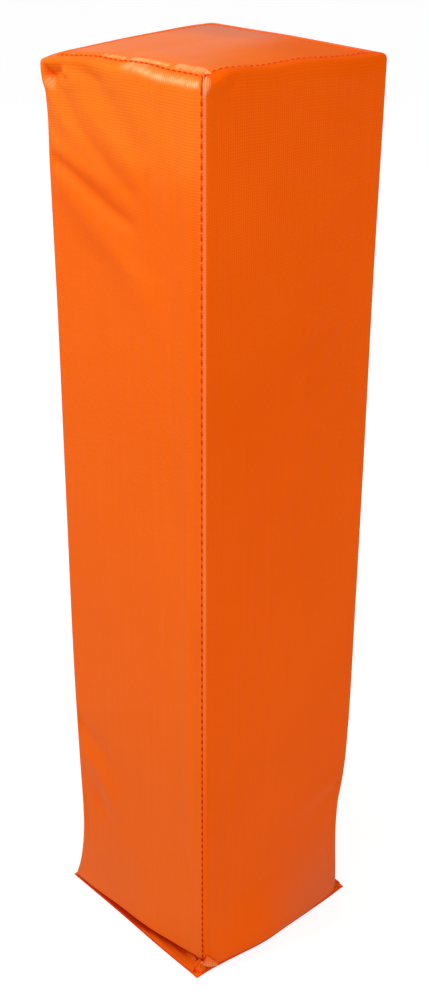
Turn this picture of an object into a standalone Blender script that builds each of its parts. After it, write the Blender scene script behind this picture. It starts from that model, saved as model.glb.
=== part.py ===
"""Football field pylon: a foam block and a sand sack sewn into a cover of orange coated cloth.

Metres, +Z up, the origin in the middle of the underside. The front corner, with the cover's one vertical
seam, points to +X -Y. A sheet's size is that of its middle surface, and Solidify gives it its thickness.
"""

import math

import bmesh
import bpy
from mathutils import Vector

# Overall size: 18 in tall, and a 4 in square block of foam with its cover, on a wider base panel
HEIGHT = 0.4572
BODY_WIDTH = 0.1032
BASE_MARGIN = 0.0023

# Cloth, and the gap that meshes keep where they touch
VINYL = 0.0006
SACK_CLOTH = 0.0005
SEAT_GAP = 0.0003

# Top of the cover
CROWN = 0.001
TOP_ROLL = 0.005
TOP_CORNER_RADIUS = 0.0012
TOP_ALLOWANCE = 0.007

# Vertical edges and the seam at the front corner
EDGE_RADIUS = 0.003
FOLD_RADIUS = 0.00045
CORNER_ALLOWANCE = 0.008
ALLOWANCE_TRIM = 0.016

# Foot of the cover: how far its lower fold rises over the crease at each corner, and how far each side bows
FOLD_RISE = {"seam": 0.0052, "front_left": 0.0012, "back_left": 0.002, "back_right": 0.0015}
FOOT_BOW = {"front": 0.0003, "left": 0.0009, "back": 0.0012, "right": 0.0035}
FOLD_TUCK = 0.0012
CREASE_INSET = 0.004
CREASE_RADIUS = 0.0015
HEM_SLIT = 0.0015

# Waist: the cover draws in below the foam, and again at the foot, by an amount of its own at each corner
WAIST_HEIGHT = 0.045
WAIST_TOP = 0.09
WAIST_DEPTH = {"seam": 0.0003, "front_left": 0.0006, "back_left": 0.0018, "back_right": 0.0027}
FOOT_DEPTH = {"seam": 0.0014, "front_left": -0.0022, "back_left": 0.0006, "back_right": 0.0017}

# Foam block
FOAM_EDGE = 0.002

# Sack of sand
SACK_TOP = 0.0592
SACK_SHOULDER = 0.011
SACK_CORNER = 0.008
SACK_SIDE_GAP = 0.001
SACK_RIM = 0.0042
SACK_CREST = 0.0006

# Sewing
THREAD = 0.0006
STITCH = 0.004
THREAD_SWING = 0.0002
HEM_SEAM_INSET = 0.0057
HEM_SEAM_CORNER = 0.001

# Counts of cells along a side, round an edge, over the top's roll, up the wall and the foot, and so on
SIDE_CELLS = 6
EDGE_CELLS = 3
ROLL_CELLS = 4
WALL_CELLS = 5
FOOT_CELLS = 3
PANEL_CELLS = 8
FOAM_EDGE_CELLS = 2
SACK_SHOULDER_CELLS = 3

# Edges sharper than this, in degrees, aren't shaded smooth
SHARP_ANGLE = 40

# The four vertical edges, clockwise seen from above
CORNERS = {"seam": (1, -1), "front_left": (-1, -1), "back_left": (-1, 1), "back_right": (1, 1)}

# Worked out from the sizes above
BASE_REACH = BODY_WIDTH / 2 + BASE_MARGIN
WALL_REACH = BODY_WIDTH / 2 - VINYL / 2
EDGE_TOP = HEIGHT - CROWN
ROLL_START = EDGE_TOP - TOP_ROLL
LAYER_STEP = VINYL + SEAT_GAP
PANEL_Z = EDGE_TOP - VINYL / 2
ALLOWANCE_Z = PANEL_Z - 2 * LAYER_STEP
TOP_SEAM_REACH = WALL_REACH + VINYL / 2 - TOP_ROLL
PANEL_FOLD_RADIUS = LAYER_STEP / 2
THREAD_CLEAR = THREAD / 2 + SEAT_GAP + VINYL / 2
TOP_GROOVE_SLANT = math.hypot(LAYER_STEP, PANEL_Z - ALLOWANCE_Z) / (PANEL_Z - ALLOWANCE_Z)
TOP_THREAD_REACH = TOP_SEAM_REACH - TOP_GROOVE_SLANT * (THREAD_CLEAR + THREAD_SWING)
PANEL_REACH = TOP_THREAD_REACH - THREAD_CLEAR - THREAD_SWING - PANEL_FOLD_RADIUS
HEM_Z = VINYL + SEAT_GAP + VINYL / 2
CREASE_TOP = HEM_Z + 2 * (THREAD_CLEAR + THREAD_SWING)
CREASE_REACH = WALL_REACH - CREASE_INSET
SEAM_SETBACK = math.sqrt(2) * (FOLD_RADIUS + VINYL / 2 + SEAT_GAP / 2) + FOLD_RADIUS
FOAM_TOP = ALLOWANCE_Z - VINYL / 2 - SEAT_GAP
DEEPEST = max(*WAIST_DEPTH.values(), *FOOT_DEPTH.values())
SACK_REACH = min(CREASE_REACH, WALL_REACH - DEEPEST) - VINYL / 2 - SACK_SIDE_GAP
SACK_BOTTOM = VINYL + SEAT_GAP
SACK_FACE_INSET = 2 * SACK_SHOULDER
FOAM_BOTTOM = SACK_TOP + SEAT_GAP

ORANGE = (0.95, 0.2, 0.02, 1.0)
DARK_ORANGE = (0.62, 0.07, 0.01, 1.0)
FOAM_GREY = (0.75, 0.73, 0.68, 1.0)
CANVAS = (0.55, 0.5, 0.4, 1.0)
CANVAS_THREAD = (0.8, 0.78, 0.7, 1.0)
SAND = (0.6, 0.47, 0.3, 1.0)


def clear_scene():
    for obj in list(bpy.data.objects):
        bpy.data.objects.remove(obj)


def material(name, colour, roughness):
    made = bpy.data.materials.new(name)
    made.use_nodes = True
    shader = made.node_tree.nodes["Principled BSDF"]
    shader.inputs["Base Color"].default_value = colour
    shader.inputs["Roughness"].default_value = roughness
    return made


def add_object(name, data, look, parts):
    data.materials.append(look)
    obj = bpy.data.objects.new(name, data)
    parts.objects.link(obj)
    return obj


def add_mesh(name, bm, look, parts):
    mesh = bpy.data.meshes.new(name)
    bm.to_mesh(mesh)
    bm.free()
    obj = add_object(name, mesh, look, parts)
    mesh.shade_smooth()
    mesh.set_sharp_from_angle(angle=math.radians(SHARP_ANGLE))
    return obj


def thicken(obj, thickness):
    solidify = obj.modifiers.new("Thickness", "SOLIDIFY")
    solidify.thickness = thickness
    solidify.offset = 0


def ease(along):
    """0 to 1 as along goes from 0 to 1, level at both ends."""
    return 0.5 - 0.5 * math.cos(math.pi * min(max(along, 0.0), 1.0))


def swell(height):
    """Share of the foot's full bow at this height: all of it at the fold, none from the waist up."""
    return 1 - ease(height / WAIST_HEIGHT)


def drawn_in(name, height):
    """How far the cover's corner draws in here: its foot depth, its waist depth, or none above WAIST_TOP."""
    if height < WAIST_HEIGHT:
        share = ease(height / WAIST_HEIGHT)
        return FOOT_DEPTH[name] * (1 - share) + WAIST_DEPTH[name] * share
    return WAIST_DEPTH[name] * ease((WAIST_TOP - height) / (WAIST_TOP - WAIST_HEIGHT))


def square_corners(reach):
    return {name: (sx * reach, sy * reach) for name, (sx, sy) in CORNERS.items()}


def cover_corners(height, inset=0.0):
    """The corners of the cover's section at this height, drawn in at the waist and moved in by inset."""
    found = {}
    for name, (sx, sy) in CORNERS.items():
        reach = WALL_REACH - inset - drawn_in(name, height)
        found[name] = (sx * reach, sy * reach)
    return found


def arc(corner, radius, start_angle, cells):
    """Points round a vertical edge, clockwise seen from above, on a quarter circle inside the corner."""
    x, y = corner
    centre = (x - math.copysign(radius, x), y - math.copysign(radius, y))
    points = []
    for step in range(cells + 1):
        angle = math.radians(start_angle - 90 * step / cells)
        points.append((centre[0] + radius * math.cos(angle), centre[1] + radius * math.sin(angle)))
    return points


def three_arcs(corners, radius):
    """The round edges at the corners without a seam, clockwise from the front left one."""
    whole = ("front_left", "back_left", "back_right")
    return [arc(corners[name], radius, 270 - 90 * n, EDGE_CELLS) for n, name in enumerate(whole)]


def between(start, end, cells, bow=0.0):
    """Points strictly between two others, on a line that bows out to the left of its direction."""
    points = []
    for step in range(1, cells):
        s = step / cells
        out = 4 * s * (1 - s) * bow / math.dist(start, end)
        run = (end[0] - start[0], end[1] - start[1])
        points.append((start[0] + run[0] * s - run[1] * out, start[1] + run[1] * s + run[0] * out))
    return points


def round_section(corners, radius, side_cells, edge_cells):
    """A closed section with four round edges, clockwise from the front corner."""
    arcs = [arc(corners[name], radius, 360 - 90 * n, edge_cells) for n, name in enumerate(CORNERS)]
    points = []
    for n, edge in enumerate(arcs):
        points += edge + between(edge[-1], arcs[(n + 1) % 4][0], side_cells)
    return points


def wrap_section(corners, radius, bow=0.0):
    """The cover's open section: both ends fold in at the front corner, with an allowance behind each side."""
    x, y = corners["seam"]
    arcs = three_arcs(corners, radius)
    start = (x - SEAM_SETBACK, y)
    front_fold = [
        (x - SEAM_SETBACK - CORNER_ALLOWANCE, y + 2 * FOLD_RADIUS),
        (x - SEAM_SETBACK, y + 2 * FOLD_RADIUS),
        (x - SEAM_SETBACK + FOLD_RADIUS, y + FOLD_RADIUS),
        start,
    ]
    end = (x, y + SEAM_SETBACK)
    right_fold = [
        end,
        (x - FOLD_RADIUS, y + SEAM_SETBACK - FOLD_RADIUS),
        (x - 2 * FOLD_RADIUS, y + SEAM_SETBACK),
        (x - 2 * FOLD_RADIUS, y + SEAM_SETBACK + CORNER_ALLOWANCE),
    ]
    bows = [bow * FOOT_BOW[side] for side in FOOT_BOW]
    points = front_fold + between(start, arcs[0][0], SIDE_CELLS, bows[0])
    for n, edge in enumerate(arcs):
        following = arcs[n + 1][0] if n < 2 else end
        points += edge + between(edge[-1], following, SIDE_CELLS, bows[n + 1])
    return points + right_fold


def level(height, points):
    return [(x, y, height) for x, y in points]


def fold_height(x, y):
    """The height of the cover's lower fold at this place, shared out between the four corners."""
    right = min(max(x / (2 * WALL_REACH) + 0.5, 0.0), 1.0)
    back = min(max(y / (2 * WALL_REACH) + 0.5, 0.0), 1.0)
    front_edge = FOLD_RISE["front_left"] * (1 - right) + FOLD_RISE["seam"] * right
    back_edge = FOLD_RISE["back_left"] * (1 - right) + FOLD_RISE["back_right"] * right
    return CREASE_TOP + front_edge * (1 - back) + back_edge * back


def from_fold(share, points):
    """The points at a share of the way up from the lower fold to the waist."""
    return [(x, y, fold_height(x, y) * (1 - share) + WAIST_HEIGHT * share) for x, y in points]


def wrap_rows():
    """The cover's sections from the hem up: (points, what the strip above holds)."""
    hem = wrap_section(square_corners(BASE_REACH), HEM_SLIT)
    crease = wrap_section(square_corners(CREASE_REACH), CREASE_RADIUS)
    tuck = wrap_section(cover_corners(CREASE_TOP, FOLD_TUCK), EDGE_RADIUS, 1.0)
    rows = [
        (level(HEM_Z, hem), "tabs"),
        (level(HEM_Z, crease), "skin"),
        (level(CREASE_TOP, crease), "skin"),
        (level(CREASE_TOP, tuck), "skin"),
    ]
    for step in range(FOOT_CELLS):
        share = step / FOOT_CELLS
        z = WAIST_HEIGHT * share
        section = wrap_section(cover_corners(z), EDGE_RADIUS, swell(z))
        rows.append((from_fold(share, section), "allowance" if step else "skin"))
    for step in range(FOOT_CELLS):
        z = WAIST_HEIGHT + (WAIST_TOP - WAIST_HEIGHT) * step / FOOT_CELLS
        rows.append((level(z, wrap_section(cover_corners(z), EDGE_RADIUS)), "allowance"))
    high = ROLL_START - ALLOWANCE_TRIM
    for step in range(WALL_CELLS + 1):
        z = WAIST_TOP + (high - WAIST_TOP) * step / WALL_CELLS
        holds = "allowance" if step < WALL_CELLS else "skin"
        rows.append((level(z, wrap_section(cover_corners(z), EDGE_RADIUS)), holds))
    roll_radius = TOP_ROLL - VINYL / 2
    for step in range(ROLL_CELLS + 1):
        share = step / ROLL_CELLS
        angle = math.radians(90 * share)
        reach = TOP_SEAM_REACH + roll_radius * math.cos(angle)
        radius = EDGE_RADIUS + (TOP_CORNER_RADIUS - EDGE_RADIUS) * share
        z = ROLL_START + roll_radius * math.sin(angle)
        rows.append((level(z, wrap_section(square_corners(reach), radius)), "skin"))
    for reach in (TOP_SEAM_REACH - LAYER_STEP, TOP_SEAM_REACH - LAYER_STEP - TOP_ALLOWANCE):
        rows.append((level(ALLOWANCE_Z, wrap_section(square_corners(reach), TOP_CORNER_RADIUS)), "tabs"))
    return rows


def held_cells(kind, columns):
    """Which cells of a strip are cloth: all, all but the seam's allowances (skin), or the four flat tabs."""
    hidden = 2
    if kind == "allowance":
        return range(columns - 1)
    if kind == "skin":
        return range(hidden, columns - 1 - hidden)
    cells = []
    for side in range(4):
        start = hidden + 1 + side * (SIDE_CELLS + EDGE_CELLS)
        cells += range(start, start + SIDE_CELLS)
    return cells


def make_side_wrap(look, parts):
    rows = wrap_rows()
    columns = len(rows[0][0])
    bm = bmesh.new()
    grid = [[bm.verts.new(place) for place in points] for points, _ in rows]
    for row, (_, kind) in enumerate(rows[:-1]):
        for c in held_cells(kind, columns):
            bm.faces.new((grid[row][c], grid[row + 1][c], grid[row + 1][c + 1], grid[row][c + 1]))
    loose = [vert for vert in bm.verts if not vert.link_faces]
    bmesh.ops.delete(bm, geom=loose, context="VERTS")
    bmesh.ops.recalc_face_normals(bm, faces=bm.faces)
    obj = add_mesh("side_wrap", bm, look, parts)
    thicken(obj, VINYL)
    return obj


def make_top_panel(look, parts):
    """The crowned square, with each edge folded under and back inwards as a mitred allowance."""
    bm = bmesh.new()
    bmesh.ops.create_grid(bm, x_segments=PANEL_CELLS, y_segments=PANEL_CELLS, size=PANEL_REACH)
    for vert in bm.verts:
        dome = (1 - (vert.co.x / PANEL_REACH) ** 2) * (1 - (vert.co.y / PANEL_REACH) ** 2)
        vert.co.z = PANEL_Z + CROWN * dome
    border = {vert for edge in bm.edges if edge.is_boundary for vert in edge.verts}
    folds = (
        (PANEL_REACH + PANEL_FOLD_RADIUS, PANEL_FOLD_RADIUS),
        (PANEL_REACH, 2 * PANEL_FOLD_RADIUS),
        (PANEL_REACH - TOP_ALLOWANCE, 2 * PANEL_FOLD_RADIUS),
    )
    for out in (Vector((1, 0, 0)), Vector((0, 1, 0)), Vector((-1, 0, 0)), Vector((0, -1, 0))):
        along = Vector((-out.y, out.x, 0))
        edge = [vert for vert in border if math.isclose(vert.co.dot(out), PANEL_REACH, rel_tol=1e-4)]
        edge.sort(key=lambda vert: vert.co.dot(along))
        row = edge
        for reach, drop in folds:
            mitre = min(reach, PANEL_REACH) - SEAT_GAP
            places = [out * reach + along * (vert.co.dot(along) / PANEL_REACH * mitre) for vert in edge]
            following = [bm.verts.new(place + Vector((0, 0, PANEL_Z - drop))) for place in places]
            for c in range(PANEL_CELLS):
                bm.faces.new((row[c], row[c + 1], following[c + 1], following[c]))
            row = following
    bmesh.ops.recalc_face_normals(bm, faces=bm.faces)
    obj = add_mesh("top_panel", bm, look, parts)
    thicken(obj, VINYL)
    return obj


def make_base_panel(look, parts):
    bm = bmesh.new()
    bmesh.ops.create_cube(bm, size=1)
    bmesh.ops.scale(bm, vec=(2 * BASE_REACH, 2 * BASE_REACH, VINYL), verts=bm.verts)
    obj = add_mesh("base_panel", bm, look, parts)
    obj.location.z = VINYL / 2
    return obj


def loft(bm, sections):
    """A closed solid through sections of equal counts, given from the bottom up as (height, points)."""
    rings = [[bm.verts.new((x, y, z)) for x, y in points] for z, points in sections]
    count = len(rings[0])
    for lower, upper in zip(rings, rings[1:]):
        for c in range(count):
            following = (c + 1) % count
            bm.faces.new((lower[c], upper[c], upper[following], lower[following]))
    bm.faces.new(rings[0])
    bm.faces.new(list(reversed(rings[-1])))
    bmesh.ops.recalc_face_normals(bm, faces=bm.faces)


def foam_section(height, inset):
    """The foam's outline, stepped in at the front corner to make room for the cover's folded allowances."""
    corners = cover_corners(height, VINYL / 2 + SEAT_GAP + inset)
    x, y = corners["seam"]
    press = 2 * FOLD_RADIUS
    back = SEAM_SETBACK + CORNER_ALLOWANCE + SEAT_GAP
    step = press + SEAT_GAP
    arcs = three_arcs(corners, EDGE_RADIUS)
    points = [(x - press, y + step), (x - step, y + press), (x - back, y + press), (x - back - press, y)]
    for n, edge in enumerate(arcs):
        points += edge
    return points + [(x, y + back + press), (x - press, y + back)]


def make_foam_core(look, parts):
    heights = [FOAM_BOTTOM, (FOAM_BOTTOM + WAIST_TOP) / 2, WAIST_TOP, FOAM_TOP - 2 * FOAM_EDGE]
    sections = [(z, foam_section(z, 0.0)) for z in heights]
    for step in range(FOAM_EDGE_CELLS + 1):
        turn = math.radians(90 * step / FOAM_EDGE_CELLS)
        inset = FOAM_EDGE * (1 - math.cos(turn))
        sections.append((FOAM_TOP - FOAM_EDGE + FOAM_EDGE * math.sin(turn), foam_section(FOAM_TOP, inset)))
    bm = bmesh.new()
    loft(bm, sections)
    return add_mesh("foam_core", bm, look, parts)


def sack_profile():
    """(reach, height above the rim's plane) of half the sack, from the rim's edge to the middle."""
    half = (SACK_TOP - SACK_BOTTOM) / 2 - SACK_CLOTH / 2
    rise = SACK_CLOTH / 2 + SEAT_GAP / 2
    side = SACK_REACH - SACK_RIM
    profile = [(SACK_REACH, rise), (side, rise), (side, half - SACK_SHOULDER)]
    for step in range(1, SACK_SHOULDER_CELLS + 1):
        turn = math.radians(90 * step / SACK_SHOULDER_CELLS)
        profile.append(
            (
                side - SACK_SHOULDER * (1 - math.cos(turn)),
                half - SACK_CREST - SACK_SHOULDER + SACK_SHOULDER * math.sin(turn),
            )
        )
    profile.append((side - SACK_FACE_INSET, half))
    return profile


def make_sack_half(name, way, look, parts):
    """One sheet of the sack: a flat rim, steep sides and a round shoulder up to a slightly crowned face."""
    middle = (SACK_TOP + SACK_BOTTOM) / 2
    bm = bmesh.new()
    rings = []
    for reach, height in sack_profile():
        radius = min(SACK_CORNER, reach / 2)
        points = round_section(square_corners(reach), radius, SIDE_CELLS, EDGE_CELLS)
        rings.append([bm.verts.new((x, y, middle + way * height)) for x, y in points])
    for lower, upper in zip(rings, rings[1:]):
        for c in range(len(lower)):
            following = (c + 1) % len(lower)
            bm.faces.new((lower[c], upper[c], upper[following], lower[following]))
    bm.faces.new(rings[-1])
    bmesh.ops.recalc_face_normals(bm, faces=bm.faces)
    obj = add_mesh(name, bm, look, parts)
    thicken(obj, SACK_CLOTH)
    return obj


def make_sand_fill(look, parts):
    """The sand, which fills the sack to one gap from its cloth."""
    middle = (SACK_TOP + SACK_BOTTOM) / 2
    inset = SACK_CLOTH / 2 + SEAT_GAP
    half = [(reach - inset, height - inset) for reach, height in sack_profile()[2:]]
    profile = [(reach, -height) for reach, height in reversed(half)] + half
    sections = []
    for reach, height in profile:
        points = round_section(square_corners(reach), SACK_CORNER - inset, SIDE_CELLS, EDGE_CELLS)
        sections.append((middle + height, points))
    bm = bmesh.new()
    loft(bm, sections)
    return add_mesh("sand_fill", bm, look, parts)


def make_thread(name, path, closed, look, parts):
    """A line of stitches: a thread through the points of the path."""
    curve = bpy.data.curves.new(name, "CURVE")
    curve.dimensions = "3D"
    curve.bevel_depth = THREAD / 2
    curve.bevel_resolution = 0
    curve.use_fill_caps = True
    spline = curve.splines.new("POLY")
    spline.points.add(len(path) - 1)
    for point, place in zip(spline.points, path):
        point.co = (*place, 1)
    spline.use_cyclic_u = closed
    return add_object(name, curve, look, parts)


def seam_ring(reach, radius, height, swing_out, swing_up):
    """Two points a stitch round a square, which swing in and out, or up and down, in turn."""
    arcs = [arc(corner, radius, 360 - 90 * n, 1) for n, corner in enumerate(square_corners(reach).values())]
    stitches = round(2 * (reach - radius) / STITCH)
    points = []
    for n, edge in enumerate(arcs):
        points += edge + between(edge[-1], arcs[(n + 1) % 4][0], 2 * stitches)
    path = []
    for n, (x, y) in enumerate(points):
        way = 1 if n % 2 else -1
        grown = 1 + way * swing_out / reach
        path.append((x * grown, y * grown, height + way * swing_up))
    return path


def make_corner_seam_thread(look, parts):
    """Stitches that cross the groove between the two folds of the front corner, from the foot to the roll."""
    half_groove = FOLD_RADIUS + VINYL / 2 + SEAT_GAP / 2
    clear = FOLD_RADIUS + THREAD_CLEAR
    stand = math.sqrt(clear**2 - (half_groove - math.sqrt(2) * THREAD_SWING) ** 2)
    depth = (SEAM_SETBACK + FOLD_RADIUS) / 2 - stand / math.sqrt(2)
    bottom = CREASE_TOP + FOLD_RISE["seam"]
    steps = 2 * round((ROLL_START - bottom) / STITCH)
    path = []
    for n in range(steps + 1):
        z = bottom + (ROLL_START - bottom) * n / steps
        x, y = cover_corners(z)["seam"]
        swing = THREAD_SWING if n % 2 else -THREAD_SWING
        path.append((x - depth + swing, y + depth + swing, z))
    return make_thread("corner_seam_thread", path, False, look, parts)


def make_top_seam_thread(look, parts):
    """Stitches in the groove between the rolled cover and the top panel."""
    height = EDGE_TOP - THREAD / 2
    path = seam_ring(TOP_THREAD_REACH, TOP_CORNER_RADIUS, height, THREAD_SWING, 0.0)
    return make_thread("top_seam_thread", path, True, look, parts)


def make_base_seam_thread(look, parts):
    """Stitches on the hem tabs, beside the crease and under the overhang of the fold."""
    reach = BASE_REACH - HEM_SEAM_INSET
    height = HEM_Z + THREAD_CLEAR + THREAD_SWING
    path = seam_ring(reach, HEM_SEAM_CORNER, height, 0.0, THREAD_SWING)
    return make_thread("base_seam_thread", path, True, look, parts)


def make_weight_bag_thread(look, parts):
    """Stitches round the sack's rim, on its upper side."""
    reach = SACK_REACH - SACK_RIM / 2
    rim_top = (SACK_TOP + SACK_BOTTOM) / 2 + SEAT_GAP / 2 + SACK_CLOTH
    height = rim_top + SEAT_GAP + THREAD / 2 + THREAD_SWING
    path = seam_ring(reach, SACK_CORNER - SACK_RIM / 2, height, 0.0, THREAD_SWING)
    return make_thread("weight_bag_thread", path, True, look, parts)


def main():
    clear_scene()
    parts = bpy.data.collections.new("football_field_pylon")
    bpy.context.scene.collection.children.link(parts)
    vinyl = material("orange vinyl", ORANGE, 0.45)
    thread = material("orange thread", DARK_ORANGE, 0.8)
    foam = material("foam", FOAM_GREY, 0.95)
    canvas = material("sack canvas", CANVAS, 0.95)
    canvas_thread = material("sack thread", CANVAS_THREAD, 0.9)
    sand = material("sand", SAND, 1.0)
    make_base_panel(vinyl, parts)
    make_sack_half("weight_bag_lower", -1, canvas, parts)
    make_sand_fill(sand, parts)
    make_sack_half("weight_bag_upper", 1, canvas, parts)
    make_weight_bag_thread(canvas_thread, parts)
    make_foam_core(foam, parts)
    make_side_wrap(vinyl, parts)
    make_top_panel(vinyl, parts)
    make_corner_seam_thread(thread, parts)
    make_top_seam_thread(thread, parts)
    make_base_seam_thread(thread, parts)


main()
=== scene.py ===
# %% [markdown]
# # A football field pylon
# A pylon marks the corner of an end zone. It is a tall block of foam in a sewn cover of orange coated
# cloth, and a sack of sand in its foot makes it stand up again. This lesson dresses the plain model of it
# in Blender: every sheet of cloth is shaped from a flat grid, then folded, drawn in and creased as the real
# one is.

# %% Load the frame
import math

import bmesh
import bpy
import numpy as np
from mathutils import Matrix, Vector, noise


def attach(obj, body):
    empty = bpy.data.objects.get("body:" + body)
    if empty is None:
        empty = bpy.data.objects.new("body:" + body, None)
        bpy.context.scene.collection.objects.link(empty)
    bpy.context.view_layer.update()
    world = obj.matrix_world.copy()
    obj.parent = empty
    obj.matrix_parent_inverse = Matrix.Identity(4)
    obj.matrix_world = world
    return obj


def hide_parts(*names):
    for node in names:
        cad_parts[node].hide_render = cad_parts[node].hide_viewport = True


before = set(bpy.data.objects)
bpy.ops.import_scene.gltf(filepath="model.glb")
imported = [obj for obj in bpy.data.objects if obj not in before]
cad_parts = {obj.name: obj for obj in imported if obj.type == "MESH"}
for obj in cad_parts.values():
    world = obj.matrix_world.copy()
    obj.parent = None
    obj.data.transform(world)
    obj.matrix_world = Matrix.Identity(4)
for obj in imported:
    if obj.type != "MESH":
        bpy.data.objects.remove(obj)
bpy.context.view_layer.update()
print("nodes:", ", ".join(sorted(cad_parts)))

# %% [markdown]
# ## Units and sizes
# Blender works in metres here, but cloth is easier to think of in millimetres. So the sizes are written in
# millimetres and multiplied by MM once, where a mesh gets its places. The sizes that the solids already
# have are repeated here by name, because every sheet has to lie where its solid lies.

# %% Sizes of the pylon
MM = 0.001
EDGE_TOP = 456.2
HALF_WIDTH = 51.6
TOP_ROLL = 5.0
ROLL_START = EDGE_TOP - TOP_ROLL
EDGE_RADIUS = 3.0
TOP_CORNER_RADIUS = 1.2
CLOTH = 0.6
WAIST = 45.0
CREASE_REACH = 47.0
TAB_TOP = 1.5
STITCH = 4.0
TOP_STITCH = 3.2
BASE_HALF = 53.9
CORNERS = {"seam": (1, -1), "front_left": (-1, -1), "back_left": (-1, 1), "back_right": (1, 1)}
# For each side: the axis that it faces along, the axis that it runs along, and which way it faces.
SIDES = {"front": (1, 0, -1), "left": (0, 1, -1), "back": (1, 0, 1), "right": (0, 1, 1)}
print("body", 2 * HALF_WIDTH, "mm wide, edge of the top", EDGE_TOP, "mm up")

# %% [markdown]
# ## The camera
# The camera stands where the photographer stood, to the front and well above the pylon, so the sides run
# together towards the floor. Its place and its lens come from lines that are parallel on the real pylon.
# Blender builds a camera's rotation from three directions: to the right, up, and back towards the viewer.

# %% Place the camera
LENS = 49.914
CAMERA_PLACE = Vector((443.75, -403.45, 555.40)) * MM
AZIMUTH = math.radians(47.61)
LOOK_DOWN = math.radians(27.46)
ROLL = math.radians(0.22)


def add_object(name, data):
    """Puts a new object with this data in the scene."""
    made = bpy.data.objects.new(name, data)
    bpy.context.scene.collection.objects.link(made)
    return made


back = Vector(
    (math.sin(AZIMUTH) * math.cos(LOOK_DOWN), -math.cos(AZIMUTH) * math.cos(LOOK_DOWN), math.sin(LOOK_DOWN))
)
level_right = Vector((math.cos(AZIMUTH), math.sin(AZIMUTH), 0))
level_up = back.cross(level_right)
right = math.cos(ROLL) * level_right + math.sin(ROLL) * level_up
up = math.cos(ROLL) * level_up - math.sin(ROLL) * level_right
lens = bpy.data.cameras.new("camera")
lens.lens = LENS
lens.sensor_width = 36
lens.clip_start = 0.01
camera = add_object("camera", lens)
camera.matrix_world = Matrix.Translation(CAMERA_PLACE) @ Matrix((right, up, back)).transposed().to_4x4()
bpy.context.scene.camera = camera
print("camera", round(CAMERA_PLACE.length, 3), "m from the foot")

# %% [markdown]
# ## Small helpers
# A smooth step, a bell and a smooth curve through a few measured places are all the mathematics that the
# sheets need. A hand-made sheet is never straight, so most of its sizes are such curves and not single
# numbers. The steps say where on the pylon something begins and ends: ease((x - 31) / 17) is 0 up to x = 31
# and 1 from x = 48 on.


# %% Curves
def ease(along):
    """0 to 1 as along goes from 0 to 1, level at both ends."""
    return 0.5 - 0.5 * np.cos(np.pi * np.clip(along, 0, 1))


def bell(distance, width):
    """1 where the distance is 0, fading to a third at this width and to almost nothing at twice the width."""
    return np.exp(-((distance / width) ** 2))


def curve(pairs, where):
    """A smooth curve through (place, value) pairs, level beyond its ends."""
    places, values = np.array(pairs, dtype=float).T
    slopes = np.gradient(values, places)
    where = np.clip(where, places[0], places[-1])
    left = np.clip(np.searchsorted(places, where) - 1, 0, len(places) - 2)
    run = places[left + 1] - places[left]
    t = (where - places[left]) / run
    rest = 1 - t
    ends = values[left] * (1 + 2 * t) * rest**2 + values[left + 1] * t**2 * (3 - 2 * t)
    bends = run * t * rest * (slopes[left] * rest - slopes[left + 1] * t)
    return ends + bends


print("halfway through a step:", float(ease(0.5)))

# %% [markdown]
# ## The cover's outline at any height
# The cover is loose over the foam. At each corner it stands out or draws in by an amount of its own: it
# flares at the front left of the top and of the foot, and it draws in below the foam at the back right.
# Each table holds (height, distance from the middle), and the sides in between run straight. The foot of
# the back right corner is twisted out of line as well.

# %% Reach of each corner
REACH = {
    "seam": [(1.6, 49.6), (8, 50.0), (20, 50.6), (45, 51.3), (90, 51.6), (451, 51.6)],
    "front_left": [
        (1.6, 54.8), (5, 54.4), (10, 53.4), (18, 52.4), (26, 51.7), (38, 51.1), (55, 51.0), (80, 51.3),
        (122, 51.7), (242, 51.5), (345, 51.1), (410, 51.2), (437, 51.2), (443, 51.5), (447, 52.2),
        (451, 52.5),
    ],
    "back_left": [(1.6, 51.0), (20, 50.4), (45, 49.8), (90, 51.4), (130, 51.6), (451, 51.6)],
    "back_right": [
        (1.6, 50.4), (15, 50.2), (33, 49.7), (47, 49.6), (61, 49.9), (75, 51.0), (88, 51.7), (102, 52.0),
        (189, 52.2), (298, 52.0), (347, 51.8), (451, 52.0),
    ],
}
TWIST = {"back_right": (2.4, -2.2)}


def square_corners(reach):
    """The four corners of a square that reaches this far from the middle."""
    return {name: (sx * reach, sy * reach) for name, (sx, sy) in CORNERS.items()}


def corner_points(height, inset=0.0):
    """Where the outline's four corners are at this height, as (x, y) in millimetres."""
    found = {}
    low = float(1 - ease(height / WAIST))
    for name, (sx, sy) in CORNERS.items():
        reach = float(curve(REACH[name], height)) - inset
        turn_x, turn_y = TWIST.get(name, (0.0, 0.0))
        found[name] = (sx * reach + turn_x * low, sy * reach + turn_y * low)
    return found


print("corners at the waist:", {name: round(place[0], 1) for name, place in corner_points(WAIST).items()})

# %% [markdown]
# ## How the pylon has settled
# Years of being knocked over have left the top uneven: the front left corner has sunk, the right side
# stands up a little, and the far corner leans. The same shift moves the side wrap, the top panel and the
# threads, so they stay sewn together. It blends four measured edges across the top, and fades away further
# down.

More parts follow.
